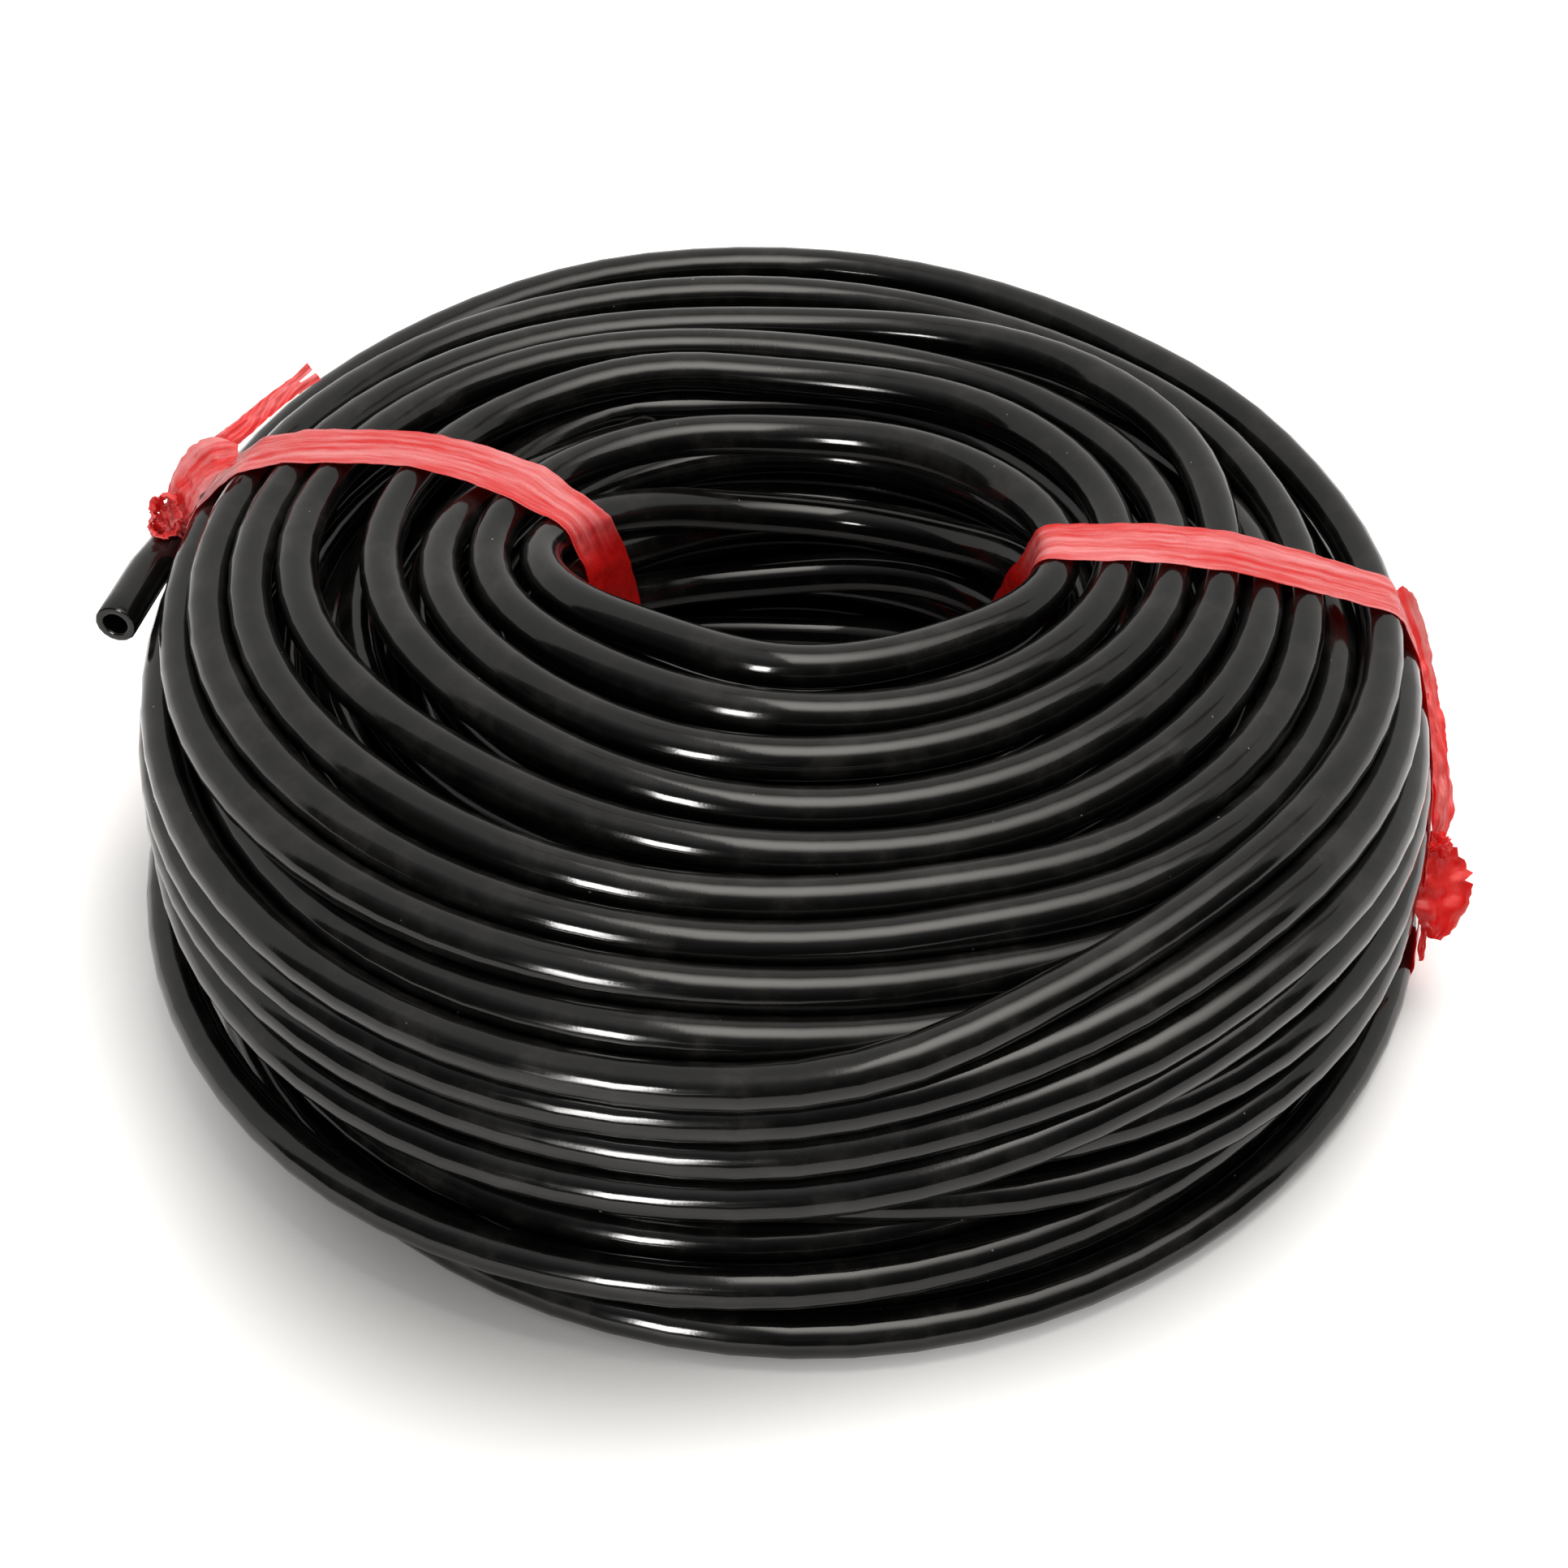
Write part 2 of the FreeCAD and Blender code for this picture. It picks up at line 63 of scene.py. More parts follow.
Spot = tuple[float, float]
Place = tuple[float, float, float]
Colour = tuple[float, float, float, float]

MM = 0.001

# The coil's axis in plan in metres, and the same place on the floor in millimetres
AXIS = np.array([0.294, -4.401]) * MM
CENTRE = np.array([*(AXIS / MM), 0.0])


class Compass(Enum):
    """Places round the coil, as degrees clockwise from its back, seen from above."""

    BACK = 0
    BACK_RIGHT = 45
    RIGHT = 90
    FRONT_RIGHT = 135
    FRONT = 180
    FRONT_LEFT = 225
    LEFT = 270
    BACK_LEFT = 315


class Slot(Enum):
    """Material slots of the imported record."""

    TUBE = "tube"
    FILM = "film"


class Layers(Enum):
    """How many layers of film lie on each other, which sets how deep its red is."""

    THIN = "thin"
    SINGLE = "single"
    FOLDED = "folded"


class Parts(Enum):
    """What is picked in edit mode."""

    EDGES = "EDGE"
    FACES = "FACE"


# Lines and points


def place_on_coil(run: np.ndarray, spots: np.ndarray) -> np.ndarray:
    """Turns places in the coil's section into points of the row frame.

    Args:
        run: degrees clockwise from the back, one per spot.
        spots: radius from the coil's axis and height, in millimetres.

    Returns:
        Points in metres.
    """
    angle = np.radians(90.0 - run)
    plan = spots[:, :1] * np.stack([np.cos(angle), np.sin(angle)], axis=1) * MM + AXIS
    return np.hstack([plan, spots[:, 1:] * MM])


def distances(line: np.ndarray) -> np.ndarray:
    """Returns how far along a line each of its points lies."""
    return np.concatenate([[0], np.cumsum(np.linalg.norm(np.diff(line, axis=0), axis=1))])


def read_at(wanted: np.ndarray, along: np.ndarray, rows: np.ndarray) -> np.ndarray:
    """Reads values between the points of a line.

    Args:
        wanted: distances along the line to read at.
        along: the distance along the line of each of its points.
        rows: a row of values for each point.

    Returns:
        A row of values for each wanted distance.
    """
    return np.stack([np.interp(wanted, along, column) for column in rows.T], axis=1)


def smooth_through(points: np.ndarray, step: float) -> np.ndarray:
    """Draws a smooth line through points.

    Args:
        points: a place for each, in its first three columns, and what goes with it.
        step: the distance between the line's places, about.

    Returns:
        The line's places, with what goes with them.
    """
    ends = np.vstack([2 * points[0] - points[1], points, 2 * points[-1] - points[-2]])
    found = []
    for i in range(1, len(ends) - 2):
        before, here, after, beyond = ends[i - 1:i + 3]
        count = max(int(np.linalg.norm((after - here)[:3]) / step), 2)
        straight = after - before
        bend = 2 * before - 5 * here + 4 * after - beyond
        twist = 3 * here - before - 3 * after + beyond
        for u in np.arange(count) / count:
            found.append(0.5 * (2 * here + straight * u + bend * u**2 + twist * u**3))
    found.append(ends[-2])
    return np.array(found)


# Handling of pieces


def deselect() -> None:
    """Clears the selection, which holds the CAD nodes after loading."""
    if bpy.context.object is not None and bpy.context.object.mode != "OBJECT":
        bpy.ops.object.mode_set(mode="OBJECT")
    bpy.ops.object.select_all(action="DESELECT")


def take(piece: bpy.types.Object) -> None:
    """Makes a piece the only selected and the active object.

    Args:
        piece: any object of the scene.
    """
    deselect()
    piece.select_set(True)
    bpy.context.view_layer.objects.active = piece


def pick(piece: bpy.types.Object, parts: Parts, wanted: Callable[[object], bool]) -> None:
    """Selects only some edges or faces of a piece in edit mode.

    Args:
        piece: the active object, in edit mode.
        parts: what is picked.
        wanted: says of each edge or face whether it is picked.
    """
    bpy.ops.mesh.select_mode(type=parts.value)
    bpy.ops.mesh.select_all(action="DESELECT")
    mesh = bmesh.from_edit_mesh(piece.data)
    for part in mesh.edges if parts is Parts.EDGES else mesh.faces:
        part.select = wanted(part)
    mesh.select_flush_mode()
    bmesh.update_edit_mesh(piece.data)


def write_lay(piece: bpy.types.Object, values: np.ndarray) -> None:
    """Writes the coordinates that streaks and pleats follow, one set per vertex."""
    layer = piece.data.attributes.new("lay", "FLOAT_VECTOR", "POINT")
    layer.data.foreach_set("vector", values.ravel())


def report(piece: bpy.types.Object) -> None:
    """Logs a piece with its number of triangles."""
    count = sum(len(face.vertices) - 2 for face in piece.data.polygons)
    log.info("%s: %d triangles", piece.name, count)


def settle_on(piece: bpy.types.Object, slot: Slot, material: bpy.types.Material, *nodes: str) -> None:
    """Gives a finished piece its body and material, and hides the CAD nodes it stands for.

    Args:
        piece: the finished piece.
        slot: the record's slot that it belongs to; not used.
        material: its finish.
        nodes: the CAD nodes that it replaces, if any.
    """
    piece.data.materials.clear()
    piece.data.materials.append(material)
    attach(piece, "root")
    if nodes:
        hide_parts(*nodes)
    report(piece)


# The wound path


@dataclass(frozen=True)
class Turn:
    """One turn of the winding.

    Attributes:
        name: the turn's name, for the order of the tube.
        back: radius and height in millimetres at the coil's back, as for each place below.
        right: the spot at its right.
        front: the spot at its front.
        left: the spot at its left.
        back_right: the spot between back and right, if one is chosen.
        front_right: the spot between right and front, if one is chosen.
        front_left: the spot between front and left, if one is chosen.
        back_left: the spot between left and back, if one is chosen.
        hold: how firmly the turn keeps its chosen spots.
    """

    name: str
    back: Spot
    right: Spot
    front: Spot
    left: Spot
    back_right: Optional[Spot] = None
    front_right: Optional[Spot] = None
    front_left: Optional[Spot] = None
    back_left: Optional[Spot] = None
    hold: float = 1.0

    def spots(self) -> Iterator[tuple[int, Spot]]:
        """Goes through the chosen spots in order.

        Returns:
            Each chosen spot with its degrees from the back.
        """
        for side in Compass:
            spot = getattr(self, side.name.lower())
            if spot is not None:
                yield side.value, spot


def wall_turns() -> list[Turn]:
    """Lists the turns of the outer wall.

    Returns:
        The turns, from the floor up.
    """
    return [
        Turn("W1", back=(110.9, 23), back_right=(110.9, 4.5), right=(106.6, 3.5), front_right=(103.3, 3.5),
             front=(103, 3.5), front_left=(99.5, 3.5), left=(98, 3.5), back_left=(100, 4.5)),
        Turn("W2", back=(102.5, 10.2), back_right=(102.5, 11), right=(102.8, 12), front_right=(98, 12.5),
             front=(100, 13), front_left=(106, 10.8), left=(107.3, 12), back_left=(104.5, 14)),
        Turn("W3", back=(102.8, 18), back_right=(102.5, 20), right=(103.5, 22), front_right=(102.5, 21.5),
             front=(91, 19.5), front_left=(93, 19), left=(98, 20), back_left=(101.5, 22)),
        Turn("W4", back=(103, 25.5), back_right=(102.5, 28), right=(103.3, 30), front_right=(102, 31.5),
             front=(88, 27), front_left=(93.5, 28), left=(97, 30), back_left=(101, 30)),
        Turn("W5", back=(103, 33), back_right=(100.6, 35.5), right=(102.3, 37.5), front_right=(101.5, 43.5),
             front=(96, 28), front_left=(102, 26.5), left=(104, 28.5), back_left=(103, 34)),
        Turn("W6", back=(102.8, 40.5), back_right=(98.6, 43), right=(100.6, 44.6), front_right=(100, 51.5),
             front=(92, 34), front_left=(101, 35), left=(104.2, 37), back_left=(103, 42)),
        Turn("W7", back=(102.5, 48), back_right=(95.8, 50.2), right=(97.6, 51.4), front_right=(96, 56),
             front=(93, 41.2), front_left=(101, 42.5), left=(103.5, 44.5), back_left=(102, 50)),
        Turn("W8", back=(101, 55.5), back_right=(92.6, 55.6), right=(90.6, 50.6), front_right=(92.5, 48.8),
             front=(85.5, 42), front_left=(93, 44), left=(96.5, 45.5), back_left=(97, 53)),
        Turn("W9", back=(98.5, 64), back_right=(92.3, 62.7), right=(96, 58.5), front_right=(90, 58.5),
             front=(93, 48.5), front_left=(99.5, 49.7), left=(101.8, 51.8), back_left=(101, 57.5)),
    ]


def crown_turns() -> list[Turn]:
    """Lists the turns that show on top.

    Returns:
        The turns, from the rim to the hole.
    """
    return [
        Turn("V9", back=(94.5, 57), back_right=(88, 54.5), right=(90, 43.5), front_right=(86, 46),
             front=(87, 51), front_left=(93.5, 53), left=(95, 53), back_left=(94, 58)),
        Turn("V8", back=(88, 56), back_right=(84, 53), right=(87, 50), front_right=(84.5, 52),
             front=(81, 54), front_left=(91, 57.5), left=(98.5, 60), back_left=(98.3, 63.5)),
        Turn("V7", back=(81, 58), back_right=(79, 57), right=(88.5, 57.2), front_right=(83.5, 57),
             front=(75, 56), front_left=(84.5, 61), left=(93.7, 65), back_left=(92, 66)),
        Turn("V6", back=(84, 66), back_right=(83.3, 63.5), right=(82.5, 63.2), front_right=(77.5, 59.8),
             front=(68, 58), front_left=(76.5, 63.5), left=(87.3, 67.5), back_left=(81.5, 68)),
        Turn("V5", back=(74, 59), back_right=(72.5, 60.3), right=(76.6, 65), front_right=(67.5, 62.5),
             front=(61, 60.5), front_left=(65.5, 65), left=(80, 68.5), back_left=(74.5, 68.5)),
        Turn("V4", back=(71, 67), back_right=(76.5, 68), right=(69.8, 66.8), front_right=(59.5, 64.5),
             front=(53.5, 62.5), front_left=(56.8, 67), left=(66, 69.5), back_left=(62.5, 69)),
        Turn("V3", back=(60.3, 68.5), back_right=(64.5, 66), right=(61.8, 67.5), front_right=(51, 66.5),
             front=(45.5, 65.5), front_left=(49, 68), left=(57, 69.5), back_left=(50, 63)),
        Turn("V2", back=(51.4, 68.6), back_right=(53.7, 69), right=(52.7, 68.7), front_right=(43.7, 68),
             front=(38, 68.5), front_left=(39.5, 69), left=(49, 69.3), back_left=(41.6, 69)),
        Turn("V1", back=(34.0, 68.7), back_right=(37.2, 69.5), right=(44, 69), front_right=(32.8, 70),
             front=(30, 70.8), front_left=(29.6, 70.5), left=(41, 69), back_left=(32.5, 60.5)),
    ]


def hole_turns() -> list[Turn]:
    """Lists the turns round the hole.

    Returns:
        The turns, from the top down.
    """
    return [
        Turn("I1", back=(30.8, 54.6), back_right=(34.5, 54.6), right=(43, 60.5), front_right=(33.8, 62.8),
             front=(31.5, 63.4), front_left=(31.6, 63.2), left=(38.5, 61.5), back_left=(33, 56)),
        Turn("I2", back=(37.5, 48.8), right=(42.5, 54), front_right=(34, 55.4), front=(32, 56),
             front_left=(32.2, 55.8), left=(38, 52), back_left=(34, 43)),
        Turn("I3", back=(31, 41.3), right=(42, 46.5), front=(32, 48.5), left=(37.5, 46.5)),
        Turn("I4", back=(37.5, 35.3), right=(42, 39), front=(32, 41), left=(37.5, 39)),
        Turn("I5", back=(31.5, 28.2), right=(42, 31.5), front=(32.5, 33.2), left=(37.5, 31.5)),
        Turn("I6", back=(36.5, 21), right=(42, 24.2), front=(33, 25.5), left=(37.5, 24.2)),
        Turn("I7", back=(32, 14), right=(42.5, 17), front=(33, 18), left=(38, 17)),
        Turn("I8", back=(35, 6), right=(43.5, 10), front=(34, 10.6), left=(39, 10)),
    ]


def floor_turns(count: int = 8) -> list[Turn]:
    """Lists the turns that lie on the floor between the hole and the wall.

    Args:
        count: how many there are.

    Returns:
        The turns, from the hole outwards.
    """
    turns = []
    for i in range(count - 1):
        share = i / (count - 1)
        turns.append(
            Turn(f"F{i + 1}", back=(40 + 55 * share, 3.5), right=(45 + 52 * share, 3.5),
                 front=(36 + 59 * share, 3.5), left=(41 + 50 * share, 3.5), hold=0.3)
        )
    turns.append(
        Turn(f"F{count}", back=(96, 3.5), right=(98, 3.5), front_right=(96.3, 3.5), front=(95.8, 3.5),
             front_left=(92.3, 3.5), left=(90.8, 3.5))
    )
    return turns


@dataclass
class Winding:
    """Works out where the tube lies: chosen spots joined along it, then pushed apart until it fits.

    Attributes:
        diameter: the tube's outside, in millimetres like all lengths here.
        spacing: how far apart two neighbouring turns lie, centre to centre.
        stations: sections of the coil in which the turns are fitted.
        layers: the number of hidden turns in each layer inwards.
        layer_step: how far each hidden layer lies inside the one before it.
        first_step: what the first hidden layer lies deeper than that.
        hole_edge: the radius at the back below which the first hidden layer would show in the hole.
        clear_of_hole: the radius that such a turn gets there instead.
        tail: degrees and spots of the tube between the cut end and the first turn.
        tail_hold: how firmly the tail and the start of the first turn keep their places.
        rounds: rounds of fitting, in which turns with less hold give way more.
        packing_rounds: rounds after them, in which turns of like hold give way alike.
        pull: what a turn's return to its chosen spots loses over the rounds of fitting.
        last_pull: how strongly it still returns at their end.
        packing_pull: how strongly it returns in the packing rounds.
        push: the share of an overlap that one round takes away.
        evening: how much a round smooths a firm turn, any other while packing, and any other before.
        turns: the turns in the order of the tube.
    """

    diameter: float = 7.0
    spacing: float = 7.15
    stations: int = 36
    layers: tuple[int, int, int] = (22, 14, 7)
    layer_step: float = 7.4
    first_step: float = 1.2
    hole_edge: float = 44.0
    clear_of_hole: float = 44.5
    tail: tuple[tuple[float, Spot], ...] = (
        (281.0, (108.5, 55.0)),
        (300.0, (109.8, 51.5)),
        (325.0, (110.6, 41.0)),
    )
    tail_hold: float = 3.0
    rounds: int = 300
    packing_rounds: int = 60
    pull: float = 0.12
    last_pull: float = 0.035
    packing_pull: float = 0.03
    push: float = 0.8
    evening: tuple[float, float, float] = (0.03, 0.06, 0.3)
    turns: list[Turn] = field(default_factory=list)

    def __post_init__(self) -> None:
        """Lists the turns in the order in which the tube passes through them."""
        outer = wall_turns() + crown_turns() + hole_turns() + floor_turns()
        rows = {turn.name: turn for turn in outer}
        inside = self.inside_turns(outer)
        wall = [f"W{i}" for i in range(1, 9)]
        crown = ["V8", "W9", "V9", "V7", "V6", "V4", "V2", "V1"]
        low = [turn.name for turn in outer if turn.name[0] in "IF"]
        start = [rows[name] for name in wall + crown + low]
        self.turns = start + inside[:9] + [rows["V5"], rows["V3"]] + inside[9:]

    def inside_turns(self, outer: list[Turn]) -> list[Turn]:
        """Lays the hidden turns as rings inside the ring of outer turns.

        Args:
            outer: the outer turns, in order round the section.

        Returns:
            The hidden turns, layer by layer inwards.
        """
        sides = ("back", "right", "front", "left")
        rings = {side: np.array([getattr(turn, side) for turn in outer]) for side in sides}
        found = []
        for depth, count in enumerate(self.layers, start=1):
            for i in range(count):
                where = (i + 0.5) / count * len(outer)
                low, part = int(where), where % 1
                spots = {}
                for side, ring in rings.items():
                    centre = ring.mean(axis=0)
                    spot = ring[low] * (1 - part) + ring[(low + 1) % len(outer)] * part
                    reach = float(np.linalg.norm(spot - centre))
                    share = max(1 - (self.layer_step * depth + self.first_step) / reach, 0.05)
                    spots[side] = tuple(centre + (spot - centre) * share)
                if depth == 1 and spots["back"][0] < self.hole_edge:
                    spots["back"] = (self.clear_of_hole, spots["back"][1])
                found.append(Turn(f"L{depth}_{i + 1}", hold=0.03, **spots))
        return found

    def knots(self) -> tuple[np.ndarray, np.ndarray, np.ndarray]:
        """Lists every chosen spot along the tube.

        Returns:
            The run in degrees, the spot and the hold of each, in order.
        """
        rows = [(run, spot, self.tail_hold) for run, spot in self.tail]
        for i, turn in enumerate(self.turns, start=1):
            for run, spot in turn.spots():
                firm = self.tail_hold if i == 1 and run <= 45 else turn.hold
                rows.append((360.0 * i + run, spot, firm))
        run, spot, hold = zip(*rows)
        return np.array(run), np.array(spot, float), np.array(hold)

    def route(self) -> tuple[np.ndarray, np.ndarray, np.ndarray]:
        """Draws a smooth line through the chosen spots.

        Returns:
            The run, the wanted place and the hold at each station.
        """
        run, spot, hold = self.knots()
        slope = np.zeros_like(spot)
        slope[1:-1] = (spot[2:] - spot[:-2]) / (run[2:] - run[:-2])[:, None]
        step = 360.0 / self.stations
        first = math.ceil(run[0] / step)
        last = int((360.0 * (len(self.turns) + 1) - 90.0) / step)
        at = np.arange(first, last) * step
        i = np.clip(np.searchsorted(run, at, side="right") - 1, 0, len(run) - 2)
        width = (run[i + 1] - run[i])[:, None]
        u = (at - run[i])[:, None] / width
        place = (
            (2 * u**3 - 3 * u**2 + 1) * spot[i]
            + (u**3 - 2 * u**2 + u) * slope[i] * width
            + (3 * u**2 - 2 * u**3) * spot[i + 1]
            + (u**3 - u**2) * slope[i + 1] * width
        )
        return at, place, hold[i]

    def settle(self) -> tuple[np.ndarray, np.ndarray]:
        """Pushes overlapping turns apart in each station's section, the hidden ones most.

        Returns:
            The run in degrees and the settled radius and height of every station.
        """
        at, wanted, firm = self.route()
        rows = len(self.turns) + 1
        first = int(round(at[0] / 360.0 * self.stations))
        live = slice(first, first + len(wanted))
        place = wanted.copy()

        # Stations before and after the tube hold a spot far away, so that nothing meets them
        room = np.zeros((rows * self.stations, 2))
        room[:, 0] = -1000.0 - 50.0 * np.arange(len(room))
        giving = np.ones(len(room))
        giving[live] = 1.0 / (0.12 + firm)
        giving = giving.reshape(rows, self.stations).T
        share = giving[:, :, None] / (giving[:, :, None] + giving[:, None, :])
        even = np.where(share > 0.9, 1.0, np.where(share < 0.1, 0.0, 0.5))
        firm = firm[:, None]
        far = np.eye(rows)[None] * 99
        held, packed, hidden = self.evening
        for step in range(self.rounds + self.packing_rounds):
            packing = step >= self.rounds
            pull = self.packing_pull if packing else self.pull * (1 - step / self.rounds) + self.last_pull
            smooth = np.where(firm > 0.5, held, packed if packing else hidden)
            place += (wanted - place) * np.minimum(firm * pull, 0.9)
            middle = place.copy()
            middle[1:-1] = 0.5 * (place[:-2] + place[2:])
            place += (middle - place) * smooth
            room[live] = place
            grid = room.reshape(rows, self.stations, 2).transpose(1, 0, 2)
            delta = grid[:, :, None, :] - grid[:, None, :, :]
            distance = np.sqrt((delta**2).sum(-1)) + far + 1e-9
            lap = np.clip(self.spacing - distance, 0, None) * (even if packing else share)
            push = (delta / distance[..., None] * lap[..., None]).sum(2) * self.push
            place += push.transpose(1, 0, 2).reshape(-1, 2)[live]
            place[:, 1] = np.maximum(place[:, 1], self.diameter / 2)
        log.info("winding: %d turns, least distance %.2f mm", rows, distance.min())
        return at, place


# Finishes


@dataclass
class Nodes:
    """A short way to add and join shader nodes.

    Attributes:
        tree: the tree of nodes that it works in.
    """

    tree: bpy.types.NodeTree

    def add(self, kind: str, **values: object) -> bpy.types.Node:
        """Adds a node and sets its fields and its inputs.

        Args:
            kind: the node's type, as bpy names it.
            values: fields of the node, or inputs by name with spaces written as underscores.

        Returns:
            The node.
        """
        node = self.tree.nodes.new(kind)
        if "node_tree" in values:
            node.node_tree = values.pop("node_tree")
        names = {socket.name.replace(" ", "_"): socket for socket in reversed(node.inputs)}
        for name, value in values.items():
            if name in names:
                self.feed(names[name], value)
            else:
                setattr(node, name, value)
        return node

    def feed(self, socket: bpy.types.NodeSocket, value: object) -> None:
        """Joins an output to a socket, or writes a constant on it.

        Args:
            socket: the input to fill.
            value: another node's output, or a number, colour or vector.
        """
        if isinstance(value, bpy.types.NodeSocket):
            self.tree.links.new(value, socket)
        else:
            socket.default_value = value

    def math(self, operation: str, first: object, second: object = 0.0) -> bpy.types.NodeSocket:
        """Adds a Math node.

        Args:
            operation: what it does, as bpy names it.
            first: its first input, a number or an output.
            second: its second input.

        Returns:
            Its value.
        """
        node = self.tree.nodes.new("ShaderNodeMath")
        node.operation = operation
        for socket, value in zip(node.inputs, (first, second)):
            self.feed(socket, value)
        return node.outputs[0]

    def between(
        self, value: object, low: float, high: float, to_low: float = 0.0, to_high: float = 1.0
    ) -> bpy.types.NodeSocket:
        """Maps a value from one range to another, smoothly and clamped.

        Args:
            value: the output to map.
            low: where its range starts.
            high: where its range ends.
            to_low: what it gives at and below the start.
            to_high: what it gives at and above the end.

        Returns:
            The mapped value.
        """
        node = self.add("ShaderNodeMapRange", interpolation_type="SMOOTHSTEP")
        for socket, number in zip(node.inputs[:5], (value, low, high, to_low, to_high)):
            self.feed(socket, number)
        return node.outputs[0]

    def mix(self, share: object, first: object, second: object) -> bpy.types.NodeSocket:
        """Mixes two colours.

        Args:
            share: how much of the second shows.
            first: a colour.
            second: a colour.

        Returns:
            The mixed colour.
        """
        node = self.tree.nodes.new("ShaderNodeMix")
        node.data_type = "RGBA"
        self.feed(node.inputs[0], share)
        self.feed(node.inputs[6], first)
        self.feed(node.inputs[7], second)
        return node.outputs[2]

    def noise(self, where: object, scale: float, detail: float, rough: float = 0.5) -> bpy.types.NodeSocket:
        """Adds a Noise texture.

        Args:
            where: the coordinates that it follows.
            scale: how fine it is.
            detail: how many finer layers it has.
            rough: how strong these are.

        Returns:
            Its value.
        """
        node = self.add("ShaderNodeTexNoise", Vector=where, Scale=scale, Detail=detail, Roughness=rough)
        return node.outputs[0]

    def bump(
        self, height: object, strength: float, distance: float, under: Optional[bpy.types.NodeSocket] = None
    ) -> bpy.types.NodeSocket:
        """Adds a Bump node.

        Args:
            height: the output that raises the surface.
            strength: how much it counts.
            distance: how far it raises it, in metres.
            under: the normal of a bump that it adds to, if any.

        Returns:
            Its normal.
        """
        node = self.add("ShaderNodeBump", Strength=strength, Distance=distance, Height=height)
        if under is not None:
            self.feed(node.inputs["Normal"], under)
        return node.outputs[0]


def new_material(name: str) -> tuple[bpy.types.Material, Nodes, bpy.types.Node]:
    """Starts a material.

    Args:
        name: the finish's name.

    Returns:
        The material, its node helper and its Principled shader.
    """
    material = bpy.data.materials.new(name)
    material.use_nodes = True
    return material, Nodes(material.node_tree), material.node_tree.nodes["Principled BSDF"]


def dust_group() -> bpy.types.NodeTree:
    """Builds the group that both the tube and the film use for dust.

    Returns:
        A group that puts out a mask of fine specks and one of dust film.
    """
    tree = bpy.data.node_groups.new("dust", "ShaderNodeTree")
    tree.interface.new_socket("Coordinates", in_out="INPUT", socket_type="NodeSocketVector")
    for mask in ("Specks", "Film"):
        tree.interface.new_socket(mask, in_out="OUTPUT", socket_type="NodeSocketFloat")
    nodes = Nodes(tree)
    where = tree.nodes.new("NodeGroupInput").outputs[0]
    out = tree.nodes.new("NodeGroupOutput")
    cells = nodes.add("ShaderNodeTexVoronoi", Vector=where, Scale=520.0, Randomness=1.0)
    chance = nodes.add("ShaderNodeTexWhiteNoise", noise_dimensions="3D", Vector=cells.outputs["Position"])
    size = nodes.between(chance.outputs["Value"], 0.93, 1.0, 0.0, 0.10)
    inside = nodes.math("LESS_THAN", cells.outputs["Distance"], size)
    some = nodes.between(nodes.noise(where, 30.0, 3.0), 0.35, 0.6, 0.3, 1.0)
    nodes.feed(out.inputs["Specks"], nodes.math("MULTIPLY", inside, some))
    nodes.feed(out.inputs["Film"], nodes.between(nodes.noise(where, 90.0, 6.0, 0.65), 0.45, 0.75))
    return tree


@dataclass(frozen=True)
class TubeFinish:
    """Smooth, glossy black plastic with fine dust and rubbed streaks along it.

    Attributes:
        colour: the plastic.
        dust: the dust on it.
        gloss: the roughness of clean plastic.
        rubbed: the roughness of a rubbed streak.
        streaks: how fine the streaks are.
        waves: how fine the shallow waves of its skin are.
        grain: how fine its grain is.
        speck_cover: how much a speck hides the plastic.
        film_cover: how much the film of dust hides it.
        speck_rough: how rough a speck is.
        film_rough: what the film of dust adds to the roughness.
        refraction: the plastic's index of refraction.
    """

    colour: Colour = (0.0040, 0.0038, 0.0036, 1.0)
    dust: Colour = (0.30, 0.29, 0.27, 1.0)
    gloss: float = 0.10
    rubbed: float = 0.20
    streaks: float = 900.0
    waves: float = 160.0
    grain: float = 2600.0
    speck_cover: float = 0.75
    film_cover: float = 0.05
    speck_rough: float = 0.7
    film_rough: float = 0.04
    refraction: float = 1.4

    def make(self, dust: bpy.types.NodeTree) -> bpy.types.Material:
        """Makes the material.

        Args:
            dust: the group of dust masks.

        Returns:
            The material.
        """
        material, nodes, body = new_material("tube_black")
        where = nodes.add("ShaderNodeTexCoord").outputs["Object"]
        lay = nodes.add("ShaderNodeAttribute", attribute_name="lay").outputs["Vector"]
        masks = nodes.add("ShaderNodeGroup", node_tree=dust, Coordinates=where).outputs
        specks, film = masks["Specks"], masks["Film"]
        cover = nodes.math(
            "MAXIMUM",
            nodes.math("MULTIPLY", specks, self.speck_cover),
            nodes.math("MULTIPLY", film, self.film_cover),
        )
        nodes.feed(body.inputs["Base Color"], nodes.mix(cover, self.colour, self.dust))
        rub = nodes.between(nodes.noise(lay, self.streaks, 4.0, 0.6), 0.48, 0.72)
        rough = nodes.between(rub, 0.0, 1.0, self.gloss, self.rubbed)
        rough = nodes.math("ADD", rough, nodes.math("MULTIPLY", film, self.film_rough))
        rough = nodes.math("MAXIMUM", rough, nodes.math("MULTIPLY", specks, self.speck_rough))
        nodes.feed(body.inputs["Roughness"], rough)
        body.inputs["IOR"].default_value = self.refraction
        waves = nodes.bump(nodes.noise(lay, self.waves, 2.0), 0.35, 0.0004)
        grain = nodes.bump(nodes.noise(where, self.grain, 2.0), 0.05, 0.0001, waves)
        nodes.feed(body.inputs["Normal"], grain)
        return material


